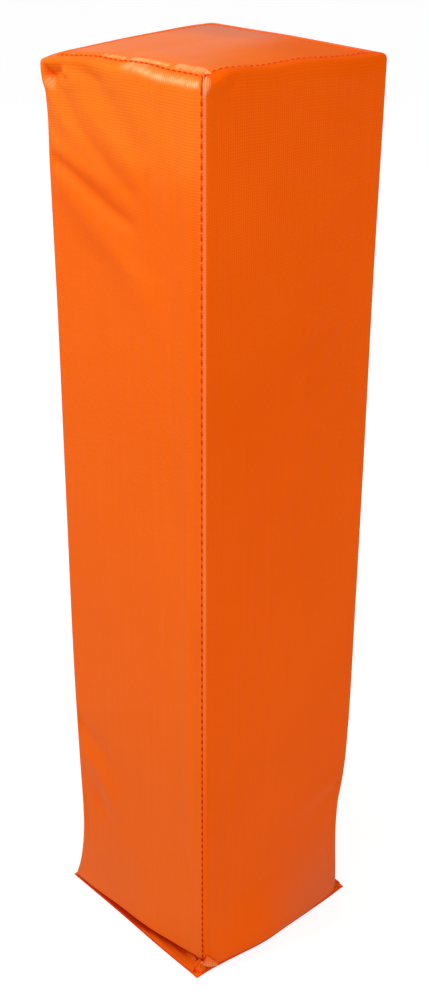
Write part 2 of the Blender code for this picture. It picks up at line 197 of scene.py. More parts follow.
# %% The shift of the top
RIM = {
    "front": [
        (-49, -4.6), (-46, -4.1), (-35, -2.8), (-25, -1.7), (-18, -1.1), (-10, -1.0), (-3, -0.9), (2, -0.4),
        (10, 0.0), (19, -0.1), (24, -0.5), (31, -0.5), (39, -0.4), (45, -0.4), (49, 0.0),
    ],
    "left": [
        (-49, -4.6), (-46, -3.9), (-42, -3.4), (-28, -2.4), (-13, -1.5), (16, -0.4), (35, 0.1), (49, 0.0),
    ],
    "back": [(-49, 0.0), (-23, -0.1), (-2, -0.1), (10, -0.3), (29, -0.7), (49, -1.1)],
    "right": [
        (-49, 0.0), (-46, 0.6), (-41, 2.1), (-30, 2.2), (-19, 1.3), (5, 1.2), (22, -0.2), (34, -0.8),
        (49, -1.1),
    ],
}
RIM_HALF = 49.0
RIM_FADE = (380.0, 451.0)
LEAN = (-2.2, -3.5)
LEAN_FADE = (330.0, 452.0)


def settle(places):
    """Shifts places, an array of x, y, z in millimetres, as the top of the real pylon has settled."""
    x, y, z = places[..., 0], places[..., 1], places[..., 2]
    edge_x = np.clip(x, -RIM_HALF, RIM_HALF)
    edge_y = np.clip(y, -RIM_HALF, RIM_HALF)
    across = (edge_x / RIM_HALF + 1) / 2
    deep = (edge_y / RIM_HALF + 1) / 2
    front, rear = curve(RIM["front"], edge_x), curve(RIM["back"], edge_x)
    left, right_side = curve(RIM["left"], edge_y), curve(RIM["right"], edge_y)
    corners = (
        RIM["front"][0][1] * (1 - across) * (1 - deep)
        + RIM["front"][-1][1] * across * (1 - deep)
        + RIM["back"][0][1] * (1 - across) * deep
        + RIM["back"][-1][1] * across * deep
    )
    rise = front * (1 - deep) + rear * deep + left * (1 - across) + right_side * across - corners
    moved = places.copy()
    moved[..., 2] += rise * ease((z - RIM_FADE[0]) / (RIM_FADE[1] - RIM_FADE[0]))
    leaning = (1 - across) * deep * ease((z - LEAN_FADE[0]) / (LEAN_FADE[1] - LEAN_FADE[0]))
    moved[..., 0] += LEAN[0] * leaning
    moved[..., 1] += LEAN[1] * leaning
    return moved


print("front left corner sinks by", RIM["front"][0][1], "mm")

# %% [markdown]
# ## The foot
# At the foot the cloth rolls under, goes back to a crease, and turns out again as tabs that are sewn to the
# base panel. The roll hangs low at the left and along the right, and rises towards the seam at the front
# corner. The base panel is cut by hand, so its edge isn't straight either.

# %% Shape of the foot
FOLD_FRONT = [
    (-48, 1.8), (-40, 1.8), (-30, 2.1), (-18, 2.7), (2, 2.9), (12, 3.5), (22, 4.8), (32, 6.2), (41, 8.0),
    (46, 8.8), (50, 9.4),
]
FOLD_RIGHT = [(-50, 8.0), (-48, 6.0), (-45, 3.4), (-42, 2.2), (-38, 1.8), (0, 1.7), (49, 1.8)]
FOLD_LOW = 1.7
BOWS = {
    "front": [(-48, 0.0), (-26, 0.2), (0, 0.5), (23, 0.2), (48, 0.0)],
    "left": [(-48, 0.0), (0, 0.9), (48, 0.0)],
    "back": [(-48, 0.0), (0, 1.2), (48, 0.0)],
    "right": [
        (-49, 0.0), (-38, 0.8), (-26, 2.5), (-10, 4.3), (2.5, 4.2), (18, 3.5), (26.5, 2.9), (33, 2.4),
        (41, 1.7), (45, 0.9), (49, 0.0),
    ],
}
BASE_EDGE = {
    "front": [(-56, 54.6), (-20, 54.3), (20, 54.5), (49, 54.1)],
    "left": [(-54, 55.9), (-10, 54.6), (30, 54.2), (53, 54.4)],
    "back": [(-54, 53.9), (0, 54.4), (54, 52.0)],
    "right": [
        (-54, 48.9), (-46, 49.2), (-38.6, 50.0), (-26.4, 51.8), (-14, 53.7), (-5.7, 54.3), (2.5, 54.2),
        (10.5, 54.2), (26.5, 54.3), (40, 54.2), (52, 53.8),
    ],
}


def fold_height(x, y):
    """The height of the cover's lower fold at this place."""
    near_front = ease((y + 44) / -6)
    near_right = ease((x - 44) / 6)
    front = (curve(FOLD_FRONT, x) - FOLD_LOW) * near_front
    side = (curve(FOLD_RIGHT, y) - FOLD_LOW) * near_right * (1 - near_front)
    return FOLD_LOW + np.maximum(front, side + front)


def base_edge(x, y):
    """Moves a place on the even square of the solid out or in, to the base panel's real outline."""
    wide = np.where(x > 0, curve(BASE_EDGE["right"], y), curve(BASE_EDGE["left"], y))
    deep = np.where(y > 0, curve(BASE_EDGE["back"], x), curve(BASE_EDGE["front"], x))
    return x / BASE_HALF * wide, y / BASE_HALF * deep


print("fold at the seam:", float(fold_height(49.0, -50.0)), "mm up")

# %% [markdown]
# ## The side wrap: outline
# The wrap is one strip of cloth. Its columns run up the pylon and its rows run round it. Starting at the
# front corner, the strip has a hidden seam allowance, a small fold, the four sides with their round edges,
# and the second fold and allowance. About three columns to a stitch let the cloth pucker between the
# stitches.

# %% Draw the outline
SIDE_CELLS = 92
ARC_CELLS = 6
GROOVE_ANGLE = 65.0
SEAM_FOLD = 0.62
SEAM_GAP = 0.02
SEAM_GAPE = 0.06
SEAM_FOLD_CELLS = 6
SEAM_ARC_CELLS = 4
SEAM_LEAST_RADIUS = 2.7
SEAM_ALLOWANCE = 8.0


def arc(corner, radius, start, end, cells):
    """Places round a corner, on a circle inside it, from one angle to another."""
    centre = (corner[0] - math.copysign(radius, corner[0]), corner[1] - math.copysign(radius, corner[1]))
    angles = np.radians(np.linspace(start, end, cells + 1))
    return np.stack([centre[0] + radius * np.cos(angles), centre[1] + radius * np.sin(angles)], axis=1)


def seam_fold(corner, radius, gap, way):
    """One side of the seam, from its allowance round the fold to the outside; way is 1 for the left side."""
    centre = np.array([corner[0] - radius, corner[1] + radius])
    turn = math.degrees(math.asin((SEAM_FOLD + gap) / (radius - SEAM_FOLD)))
    angle = math.radians(-GROOVE_ANGLE - way * turn)
    out = np.array([math.cos(angle), math.sin(angle)])
    towards = np.array([-math.sin(angle), math.cos(angle)]) * way
    middle = centre + (radius - SEAM_FOLD) * out
    turns = np.radians(np.linspace(180, 0, SEAM_FOLD_CELLS + 1))[:, None]
    fold = middle + SEAM_FOLD * (np.cos(turns) * out + np.sin(turns) * towards)
    depth = radius - 2 * SEAM_FOLD
    if way > 0:
        behind = centre + np.array([[-SEAM_ALLOWANCE, -depth], [-SEAM_ALLOWANCE / 2, -depth], [-0.3, -depth]])
    else:
        behind = centre + np.array([[depth, SEAM_ALLOWANCE], [depth, SEAM_ALLOWANCE / 2], [depth, 0.0]])
    return np.concatenate([behind, fold]), -GROOVE_ANGLE - way * turn


def outline(corners, radius, gap=SEAM_GAP):
    """The wrap's open outline, clockwise seen from above, from one hidden allowance to the other."""
    seam_radius = max(radius, SEAM_LEAST_RADIUS)
    left_fold, left_angle = seam_fold(corners["seam"], seam_radius, gap, 1)
    right_fold, right_angle = seam_fold(corners["seam"], seam_radius, gap, -1)
    arcs = [arc(corners["seam"], seam_radius, left_angle, -90, 1)[1:]]
    for n, name in enumerate(("front_left", "back_left", "back_right")):
        arcs.append(arc(corners[name], radius, 270 - 90 * n, 180 - 90 * n, ARC_CELLS))
    arcs.append(arc(corners["seam"], seam_radius, 0, right_angle, SEAM_ARC_CELLS)[:-1])
    shares = np.linspace(0, 1, SIDE_CELLS + 1)[1:-1, None]
    parts = [left_fold, arcs[0]]
    for before, after in zip(arcs, arcs[1:]):
        parts += [before[-1] * (1 - shares) + after[0] * shares, after]
    return np.concatenate([*parts, right_fold[::-1]])


columns = len(outline(corner_points(200.0), EDGE_RADIUS))
print("an outline has", columns, "places")

# %% [markdown]
# ## The side wrap: columns
# Each place of the outline is the foot of a column. A column knows which side it belongs to, and those of
# the edges, folds and allowances belong to none. What is given for each side is blended across them.

# %% Number the columns
ALLOWANCE_CELLS = 3


def column_sides():
    """For each column, the side that it belongs to, or -1 on an edge, a fold or an allowance."""
    ends = ALLOWANCE_CELLS + SEAM_FOLD_CELLS + 1
    sides = [np.full(ends + 1, -1)]
    for n in range(len(SIDES)):
        sides.append(np.full(SIDE_CELLS - 1, n))
        sides.append(np.full(ARC_CELLS + 1 if n < 3 else SEAM_ARC_CELLS, -1))
    sides.append(np.full(ends, -1))
    return np.concatenate(sides)


side_of_column = column_sides()


def on_side(side):
    """Which columns lie on this side."""
    return side_of_column == list(SIDES).index(side)


def fill_edges(values):
    """Gives the columns of edges and folds, which are NaN so far, values between those of the sides."""
    known = np.flatnonzero(~np.isnan(values))
    return np.interp(np.arange(columns), known, values[known])


print(columns, "columns,", int((side_of_column >= 0).sum()), "of them on a side")

# %% [markdown]
# ## The side wrap: rows of the foot
# The tabs lie flat, but rise towards the fold near the seam. The crease behind them stands up, and the roll
# then turns from underneath to the outside.

# %% List the rows of the foot
TAB_CELLS = 4
TAB_CORNER_RADIUS = 1.5
CREASE_CORNER_RADIUS = 1.6
FOOT_ROLL = 1.1
FOOT_ROLL_CELLS = 5
SEAM_TUCK = 2.4
SEAM_RISE = 0.85


def level(around, height):
    """Gives an outline its height, which is one number or one for each column."""
    return np.column_stack([around, np.broadcast_to(height, columns)])


def foot_rows():
    """The rows from the hem tabs to the roll, and the height of the lower fold at each column."""
    outer = outline(square_corners(BASE_HALF), TAB_CORNER_RADIUS)
    edge = np.stack(base_edge(outer[:, 0], outer[:, 1]), axis=1)
    crease = outline(square_corners(CREASE_REACH), CREASE_CORNER_RADIUS)
    foot = outline(corner_points(FOLD_LOW), EDGE_RADIUS)
    low = fold_height(foot[:, 0], foot[:, 1])
    near_seam = ease((crease[:, 0] - 31) / 17) * ease((-40 - crease[:, 1]) / 6)
    crease[:, 1] -= SEAM_TUCK * near_seam
    rows = []
    for share in np.linspace(0, 1, TAB_CELLS + 1):
        flat = edge * (1 - share) + crease * share
        rows.append(level(flat, TAB_TOP + SEAM_RISE * (low - TAB_TOP) * near_seam * share**1.3))
    for share in (0.5, 1.0):
        rows.append(level(crease, TAB_TOP + (low - TAB_TOP) * np.maximum(share, SEAM_RISE * near_seam)))
    for step in range(FOOT_ROLL_CELLS + 1):
        turn = math.radians(90 * step / FOOT_ROLL_CELLS)
        shrink = 1 - FOOT_ROLL * (1 - math.sin(turn)) / HALF_WIDTH
        rows.append(level(foot * shrink, low + FOOT_ROLL * (1 - math.cos(turn))))
    return rows, low


foot_part, fold_line = foot_rows()
print(len(foot_part), "rows; the fold hangs", round(float(fold_line.min()), 2), "mm above the floor")

# %% [markdown]
# ## The side wrap: rows of the wall
# The wall climbs in steps that are close together where the cloth is drawn in or creased. Its lowest rows
# follow the fold, and from the waist up each row is level. Near the top the seam gapes a little.

# %% List the rows of the wall
WALL_FOOT = 3.0


def wall_heights():
    """The heights of the wall's rows."""
    close = np.arange(5.0, 140.0, 5.0)
    loose = np.arange(140.0, 320.0, 20.0)
    creased = np.concatenate([np.arange(320.0, 370.0, 10.0), np.arange(370.0, 436.5, 2.4)])
    near_top = np.arange(437.0, ROLL_START - 0.4, 0.8)
    return np.concatenate([close, loose, creased, near_top])


def wall_rows():
    """The rows between the foot's roll and the top's roll."""
    rows = []
    for height in wall_heights():
        gape = SEAM_GAPE * float(ease((height - 443) / 6))
        around = outline(corner_points(height), EDGE_RADIUS, SEAM_GAP + gape)
        fading = 1 - ease((height - WALL_FOOT) / (WAIST - WALL_FOOT))
        rows.append(level(around, height + (fold_line + FOOT_ROLL - WALL_FOOT) * fading))
    return rows


wall_part = wall_rows()
print(len(wall_part), "rows from", wall_heights()[0], "mm up")

# %% [markdown]
# ## The side wrap: rows of the top
# The roll turns over the edge of the top, rounder at the seam and squarer at the sunk corner. The cloth
# then dives into the seam and ends in a hidden allowance. The three parts together are the wrap's grid.

# %% List the rows of the top
TOP_ROLL_CELLS = 9
GROOVE_ROLL = 0.7
GROOVE_CELLS = 4
TOP_ALLOWANCE = 6.0
SEAM_DROP = 1.95
ROLL_END_RADIUS = TOP_CORNER_RADIUS + CLOTH
SQUARENESS = {
    "front": [(-49, 4.5), (-30, 4.2), (-5, 3.4), (12, 2.6), (49, 2.0)],
    "left": [(-49, 4.5), (-30, 3.2), (49, 3.2)],
    "back": [(-49, 3.6), (49, 4.4)],
    "right": [(-49, 2.2), (-40, 3.0), (-25, 4.0), (49, 4.4)],
}


def roll_squareness(around):
    """For each column, how square the top's roll is: 2 is round, and more is squarer."""
    found = np.full(columns, np.nan)
    for side, (_, other, _) in SIDES.items():
        held = on_side(side)
        found[held] = curve(SQUARENESS[side], around[held, other])
    return fill_edges(found)


def top_rows():
    """The rows of the roll, of the groove at the seam and of the allowance."""
    rows = []
    power = 2 / roll_squareness(outline(corner_points(ROLL_START), EDGE_RADIUS))
    for step in range(TOP_ROLL_CELLS + 1):
        turn = math.radians(90 * step / TOP_ROLL_CELLS)
        radius = EDGE_RADIUS + (ROLL_END_RADIUS - EDGE_RADIUS) * step / TOP_ROLL_CELLS
        gap = SEAM_GAP + SEAM_GAPE * (1 - 0.8 * step / TOP_ROLL_CELLS)
        full = outline(corner_points(ROLL_START), radius, gap)
        drawn = outline(corner_points(ROLL_START, TOP_ROLL), radius, gap)
        inwards = (1 - max(math.cos(turn), 0.0) ** power)[:, None]
        rise = TOP_ROLL * math.sin(turn) ** power
        rows.append(level(full * (1 - inwards) + drawn * inwards, ROLL_START + rise))
    for step in range(1, GROOVE_CELLS + 1):
        turn = math.radians(90 * step / GROOVE_CELLS)
        inset = TOP_ROLL + GROOVE_ROLL * math.sin(turn)
        around = outline(corner_points(ROLL_START, inset), ROLL_END_RADIUS)
        rows.append(level(around, EDGE_TOP - GROOVE_ROLL * (1 - math.cos(turn))))
    for share in (0.0, 0.5, 1.0):
        inset = TOP_ROLL + GROOVE_ROLL + 0.3 + TOP_ALLOWANCE * share
        around = outline(corner_points(ROLL_START, inset), ROLL_END_RADIUS)
        rows.append(level(around, EDGE_TOP - SEAM_DROP))
    return rows


plain_wrap = np.stack([*foot_part, *wall_part, *top_rows()])
print("the wrap's grid:", plain_wrap.shape[0], "rows of", plain_wrap.shape[1])

# %% [markdown]
# ## Creases, dents and puckers
# A crease is drawn as a short line on one side, with a height and a width in millimetres. Places near the
# line move out, or in where the height is negative. The move fades like a bell curve across the line, and
# at the line's last point. That is what a sculpting brush does, but written down it can be changed and
# repeated.

# %% List the creases
CREASES = {
    "front": [
        ([(-46.5, 444.6), (-40.5, 446.2), (-34, 447.6)], -2.1, 3.0),
        ([(-28, 450), (-19, 448.6), (-5, 444.6)], -0.8, 3.4),
        ([(-16, 444), (-7, 438.5), (1, 433.5), (9, 425.5), (18, 418)], -0.8, 6.5),
        ([(-32, 447), (-26, 440), (-15.5, 430.5), (-5.5, 423.0), (7, 415.0), (16, 410)], 0.5, 4.5),
        ([(-41, 442), (-36, 436.5), (-31, 430), (-22, 421.5), (-11.5, 415), (1, 407.5), (14, 401)],
         -0.6, 3.2),
        ([(-49.5, 442.5), (-45.5, 436), (-39.5, 427.5), (-31.5, 420)], 0.6, 2.4),
        ([(-47, 426), (-41, 416)], -0.6, 2.4),
        ([(-42, 414.5), (-27.9, 410), (-14.4, 406.6), (-1.2, 402.5)], 0.6, 3.0),
        ([(-46, 409.5), (-35.2, 406), (-22.9, 400.7), (-9.6, 395.6), (2, 392.5), (13, 390)], -1.1, 3.2),
        ([(-38, 399), (-30, 392), (-16, 384), (0, 374), (14, 364), (24, 356)], 1.0, 7.5),
        ([(41.5, 446), (41.5, 250), (41.5, 70)], 0.6, 5.0),
        ([(-48, 110), (-29.8, 101.4), (-16.6, 95.9)], -1.2, 5.5),
        ([(-47, 91), (-30.6, 85.6), (-22.7, 74.3), (-13.6, 69.1)], 1.1, 4.5),
        ([(-34, 68), (-30, 62)], -1.1, 5.0),
        ([(-47, 60), (-46, 42), (-46, 22)], -0.7, 2.2),
        ([(-43, 48), (-41, 30), (-38, 14)], 0.5, 3.0),
    ],
    "right": [
        ([(46, 79.5), (26, 76.9), (6, 77)], 0.7, 3.2),
        ([(47, 75), (31.1, 67.2)], -0.8, 3.2),
        ([(-35, 454), (-38.6, 449)], -0.7, 2.4),
        ([(-44, 12), (-30, 9), (-10, 9)], 0.4, 4.0),
        ([(45, 50), (40, 30), (38, 12)], -0.5, 4.0),
    ],
    "left": [
        ([(-44, 448), (-38, 440), (-24, 424), (-8, 410)], -0.8, 3.4),
        ([(-46, 436), (-30, 421), (-12, 402)], 0.6, 4.0),
        ([(-20, 446), (2, 428), (22, 416)], -0.5, 5.0),
        ([(40, 100), (18, 92), (-6, 90)], 0.6, 4.0),
        ([(44, 84), (20, 74), (2, 72)], -0.7, 4.5),
        ([(-44, 62), (-40, 40), (-38, 18)], -0.6, 3.0),
    ],
    "back": [
        ([(-46, 438), (-30, 426), (-6, 418), (16, 416)], -0.6, 5.0),
        ([(-40, 420), (-18, 408), (8, 402)], 0.5, 5.0),
        ([(44, 84), (24, 78), (0, 80), (-22, 88)], 0.7, 4.0),
        ([(46, 74), (22, 66), (-4, 66)], -0.8, 4.5),
        ([(-44, 60), (-38, 40), (-36, 20)], -0.5, 4.0),
    ],
}
print("creases:", {side: len(lines) for side, lines in CREASES.items()})

# %% [markdown]
# ## The pocket under the sunk corner
# Where the front left corner of the top has sunk, the cloth has folded into a small pocket. Its upper wall
# slopes in slowly from above, down to a sharp slanting crease, and below the crease a lip stands out.
# POCKET is the crease from its outer to its inner end. The pocket and the creases of a side are added up at
# the height where the cloth lies after it has settled.

# %% Press in the pocket and draw the creases
POCKET = [(-53.6, 447.6), (-45.9, 441.8)]
POCKET_DEPTH = 3.1
POCKET_WALL = 6.5
POCKET_LIP = 0.35
CREASE_END = 12.0


def distance_to(line, along, height):
    """How far each place is from a line of points, in millimetres."""
    near = np.full(along.shape, np.inf)
    for (x0, z0), (x1, z1) in zip(line, line[1:]):
        run = np.array([x1 - x0, z1 - z0], dtype=float)
        share = np.clip(((along - x0) * run[0] + (height - z0) * run[1]) / run.dot(run), 0, 1)
        near = np.minimum(near, np.hypot(along - x0 - share * run[0], height - z0 - share * run[1]))
    return near


def waves(places, size, seed):
    """Soft unevenness from -1 to 1, the same in each run."""
    flat = places.reshape(-1, 3)
    shift = Vector((seed * 17.3, seed * 5.1, seed * 9.7))
    found = [noise.noise(Vector(place) / size + shift) for place in flat]
    return np.array(found).reshape(places.shape[:-1])


def pocket_frame(along, height):
    """How much of the pocket is here, from 0 to 1, and how far above its crease the place is."""
    start, end = np.array(POCKET[0]), np.array(POCKET[1])
    run = end - start
    length = np.hypot(*run)
    share = ((along - start[0]) * run[0] + (height - start[1]) * run[1]) / length**2
    above = ((height - start[1]) * run[0] - (along - start[0]) * run[1]) / length
    return ease(share / 0.25) * (1 - ease((share - 0.9) / 0.6)), above


def corner_pocket(along, height):
    """How far the pocket and its lip move the cloth out here."""
    held, above = pocket_frame(along, height)
    hollow = np.where(above > 0, 1 - ease(above / POCKET_WALL), bell(above, 0.6))
    below = above + 1.3
    lip = bell(below, np.where(below > 0, 1.0, 6.0))
    return held * (POCKET_LIP * lip - POCKET_DEPTH * hollow)


def crease_rise(side, along, height):
    """How far the creases of one side move the cloth out here, in millimetres."""
    rise = corner_pocket(along, height) if side == "front" else np.zeros(along.shape)
    for line, depth, width in CREASES[side]:
        end = np.hypot(along - line[-1][0], height - line[-1][1])
        whole = np.hypot(line[-1][0] - line[0][0], line[-1][1] - line[0][1])
        tapered = ease(end / min(CREASE_END, 0.4 * whole))
        rise += depth * bell(distance_to(line, along, height), width) * tapered
    return rise * ease((50.2 - np.abs(along)) / 3.0)


print("the pocket is", POCKET_DEPTH, "mm deep")

# %% [markdown]
# ## Sculpt the wrap
# All that moves the cloth of a side out or in is added up: its bow at the foot, its creases, soft
# unevenness for the slack, and small puckers between the stitches of the top seam. The round edges between
# the sides stay where they are, and so does the crease at the foot.

# %% Move the sides out and in
SLACK = [(34.0, 0.32), (11.0, 0.07)]
WRAP_PUCKER = 0.10


def sculpt(places):
    """Bows, creases, puckers and slack of the wrap's outside."""
    z = places[..., 2]
    real_z = settle(places)[..., 2]
    moved = places.copy()
    swell = 1 - ease(z / WAIST)
    slack = sum(waves(places, size, n) * height for n, (size, height) in enumerate(SLACK, start=1))
    rows = np.arange(len(places))[:, None]
    for side, (axis, other, way) in SIDES.items():
        held = on_side(side)
        along = places[:, held, other]
        height = z[:, held]
        out = curve(BOWS[side], along) * swell[:, held] + crease_rise(side, along, real_z[:, held])
        calm = ease((49.0 - np.abs(along)) / 6.0)
        out += slack[:, held] * calm
        pucker = np.cos(2 * np.pi * along / TOP_STITCH)
        near_seam = np.exp(-np.abs(height - EDGE_TOP) / 7.0) * (height > 400)
        out += WRAP_PUCKER * pucker * near_seam * calm
        wall = ease((rows - TAB_CELLS) / 3) * ease((EDGE_TOP + 0.4 - height) / 3.5)
        moved[:, held, axis] += way * out * wall
    return moved


wrap = settle(sculpt(plain_wrap))
print("the wrap spans", [round(float(v), 1) for v in np.ptp(wrap.reshape(-1, 3), axis=0)], "mm")

# %% [markdown]
# ## From a flat grid to a sheet
# One operator makes the flat grid, with a UV map over it. Moving its vertices to the places above folds the
# cloth, and the faces and the UV map come along. The UV map is then stretched to the cloth's flat size in
# metres, so the weave in the material keeps one size all over the piece.


# %% Make a sheet from its places
def flat_steps(places):
    """Distance along a line of places from its start, in metres."""
    steps = np.linalg.norm(np.diff(places, axis=0), axis=1)
    return np.concatenate([[0], np.cumsum(steps)]) * MM


def finished_mesh(bm, name):
    """Turns a bmesh into a mesh that is shaded smoothly, and frees it."""
    mesh = bpy.data.meshes.new(name)
    bm.to_mesh(mesh)
    bm.free()
    mesh.shade_smooth()
    return mesh


def grid_spot(vert, rows, cols):
    """The row and the column of a vertex in a fresh grid with this many of each."""
    return round((vert.co.y + 1) / 2 * (rows - 1)), round((vert.co.x + 1) / 2 * (cols - 1))


def sheet_mesh(name, places, flat_x, flat_y, keep=None, paint=()):
    """A mesh grid with its vertices at places (rows, columns, 3) in millimetres.

    keep picks the cells that stay. paint is pairs of a name and an array with one value for each vertex,
    for the material to read.
    """
    rows, cols = places.shape[:2]
    bm = bmesh.new()
    bmesh.ops.create_grid(bm, x_segments=cols - 1, y_segments=rows - 1, size=1)
    uv = bm.loops.layers.uv.new("cloth")
    layers = [(bm.verts.layers.float.new(layer), values) for layer, values in paint]
    spots = {}
    for vert in bm.verts:
        row, col = grid_spot(vert, rows, cols)
        spots[vert] = (row, col)
        vert.co = Vector(places[row, col]) * MM
        for layer, values in layers:
            vert[layer] = values[row, col]
    for face in bm.faces:
        for loop in face.loops:
            row, col = spots[loop.vert]
            loop[uv].uv = (flat_x[col], flat_y[row])
    if keep is not None:
        gone = []
        for face in bm.faces:
            cell = (min(spots[vert][0] for vert in face.verts), min(spots[vert][1] for vert in face.verts))
            if not keep(*cell):
                gone.append(face)
        bmesh.ops.delete(bm, geom=gone, context="FACES")
    return finished_mesh(bm, name)


print("a sheet's mesh needs its places, its flat size and its paint")

# %% [markdown]
# ## From a mesh to a piece
# A piece rides on a body of the frame, takes the place of a solid and has the slot of its finish. A sheet
# is made for its outer face, and the Solidify modifier adds the thickness behind it. Where the cloth was
# cut, its rim gets a material slot of its own.


# %% Add a piece and thicken it
def add_piece(name, mesh, node):
    """Puts a mesh in the scene as a piece that stands for a solid of the frame."""
    piece = add_object(name, mesh)
    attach(piece, "root")
    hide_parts(node)
    return piece


def thicken(piece, thickness, rim_slot=0):
    """Gives a sheet its thickness, behind the surface that shows, and its cut edge a slot of its own."""
    solidify = piece.modifiers.new("Thickness", "SOLIDIFY")
    solidify.thickness = thickness * MM
    solidify.offset = -1
    solidify.material_offset_rim = rim_slot


print("the cover's cloth is", CLOTH, "mm thick")

# %% [markdown]
# ## Which cells of the grid are cloth
# The tabs are slit at the corners, and neither the tabs nor the top allowance go round the seam. So those
# cells of the grid are left out.

# %% Choose the cells of the side wrap
tab_rows = range(0, TAB_CELLS)
top_tab_rows = range(wrap.shape[0] - 3, wrap.shape[0])
hidden = ALLOWANCE_CELLS + SEAM_FOLD_CELLS
allowance_from = TAB_CELLS + 2 + FOOT_ROLL_CELLS + 2
allowance_to = int(np.argmax(plain_wrap[:, hidden, 2] > 436))


def wrap_cell(row, col):
    """Which cells of the wrap are cloth."""
    if row in tab_rows or row in top_tab_rows:
        return side_of_column[col] >= 0 and side_of_column[min(col + 1, columns - 1)] >= 0
    if col < ALLOWANCE_CELLS or col >= columns - 1 - ALLOWANCE_CELLS:
        return allowance_from <= row < allowance_to
    return True


print("the seam allowances run from row", allowance_from, "to row", allowance_to)

# %% [markdown]
# ## Paint for the wrap
# Most of what is painted on the cover is light and shade. Each kind of paint is a number from 0 to 1 on
# every vertex, which the material reads later. Painted light makes the sides paler where the light falls, the
# front most, and each most near its top. Where a crease turns the cloth away from the light it keeps more of
# its deep colour, which is painted shade, so the paler paint follows the slope too. Painted shade darkens the
# fold of the foot, painted highlights lie pale where the top's edge turns, and a greyish painted sheen lies
# near the ground. The places and heights in these functions are read off the photo, in millimetres.

# %% Paint fade, dirt, wear and dust
# How much painted light each side gets, as paler paint.
LIT_SHARES = {"front": 1.0, "left": 0.6, "back": 0.1, "right": 0.0}
on_front = on_side("front")


def painted_light_and_shade(height):
    """Painted light: the front is painted palest and the right side least, each most near its top, with
    painted shade where creases turn the cloth from the light.
    """
    shares = np.full(columns, np.nan)
    for side, share in LIT_SHARES.items():
        shares[on_side(side)] = share
    # Painted light: paler paint on the sides that face the light, most near their tops.
    lit_pale = fill_edges(shares) * (0.3 + 0.7 * ease((height - 398) / 40))
    # Painted light and shade on the front's creases: more paler paint where the cloth turns towards the
    # light, less where it turns away.
    risen = (plain_wrap[..., 1] - sculpt(plain_wrap)[..., 1]) * on_front
    slope = np.gradient(risen, axis=0) / np.maximum(np.abs(np.gradient(height, axis=0)), 0.3)
    lit_pale = lit_pale - 1.2 * np.clip(slope, -0.25, 0.5) * ease((height - 330) / 40)
    return np.clip(lit_pale, 0, 1)


def fold_shade(x, y, height, rows):
    """Painted shade in the fold of the foot, on the hem tabs and a little beside the seam."""
    # Painted shade: darkest in the recess under the fold of the foot, less near the seam, and at least a
    # little on every hem tab.
    first_row = 1.3 * ease((x - 6) / 24) - 1.6 * (1 - ease((x + 4) / 18))
    painted_shade = ease((rows - first_row) / 1.8) * (1 - ease((rows - TAB_CELLS - 3.5) / 3.0))
    near_seam = ease((x - 26) / 22) * (y < -44)
    painted_shade = painted_shade * (1 - 0.8 * near_seam * (rows <= TAB_CELLS)) * (1 - 0.4 * near_seam)
    painted_shade = np.maximum(painted_shade, 0.3 * (rows <= TAB_CELLS))
    # A faint painted shade beside the seam, up the front.
    beside_seam = on_front * ease((x - 43) / 6) * ease((height - 60) / 60)
    return np.maximum(painted_shade, 0.06 * beside_seam)


def painted_highlights(x, y, height):
    """Painted highlights on the front's roll, beside the seam, at its top end, and on the pocket's lip."""
    # Painted highlights: a broken pale band along the front's roll, a pale lip under the pocket, a pale patch
    # at the top end of the seam and a pale line beside the seam.
    highlight_height = 455.4 - 1.0 * ease((x - 6) / 18)
    highlight_breaks = 0.85 + 0.8 * waves(plain_wrap * np.array([1.0, 1.0, 0.4]), 1.6, 11)
    roll = bell(height - highlight_height, 1.05) * on_front * ease((x + 1) / 8) * highlight_breaks * 1.05
    held, above = pocket_frame(x, settle(plain_wrap)[..., 2])
    lip = 0.5 * held * bell(above + 0.5, 0.9) * on_front
    late = np.arange(columns) > columns - 30
    wedge = 0.8 + 0.8 * (height - 449.5) - (y + HALF_WIDTH)
    patch = late * ease(wedge / 1.6) * ease((height - 448.5) / 2) * 0.45
    seam_edge = np.abs(np.arange(columns) - (columns - 1 - hidden)) < 2
    return np.clip(roll + patch + 0.3 * seam_edge * ease((height - 60) / 200) + lip, 0, 1)


def wrap_paint():
    """Every kind of mark on the wrap: its name, and its value on each vertex."""
    x, y, height = plain_wrap[..., 0], plain_wrap[..., 1], plain_wrap[..., 2]
    rows = np.arange(len(plain_wrap))[:, None]
    on_right = fill_edges(np.where(side_of_column >= 0, on_side("right"), np.nan))
    dull = on_right * ease((height - 448) / 3) + 0.7 * on_front * ease((height - 451) / 3)
    towards_left, towards_back = ease((20 - x) / 50), ease((y + 20) / 50)
    # Painted sheen: a greyish pale paint near the ground, more towards the left and towards the back of the
    # right side.
    sheen = (1 - on_right) * (0.05 + 0.12 * towards_left) + 0.28 * on_right * towards_back
    sheen = sheen * ease((60 - height) / 50) * (rows > TAB_CELLS)
    return [
        ("lit_pale", painted_light_and_shade(height)), ("painted_shade", fold_shade(x, y, height, rows)),
        ("highlight", painted_highlights(x, y, height)), ("dull", dull), ("sheen", sheen),
    ]


marks = wrap_paint()
print("marks on the wrap:", {name: round(float(values.max()), 2) for name, values in marks})

# %% [markdown]
# ## The curled ends of the hem
# At the foot of the seam the ends of the hem have curled up. Each is a narrow sheet of its own that stands
# on a line. CURLS lists how strong the painted highlight along each lower edge is, and then x, y, the lower
# edge and the upper edge along its line.

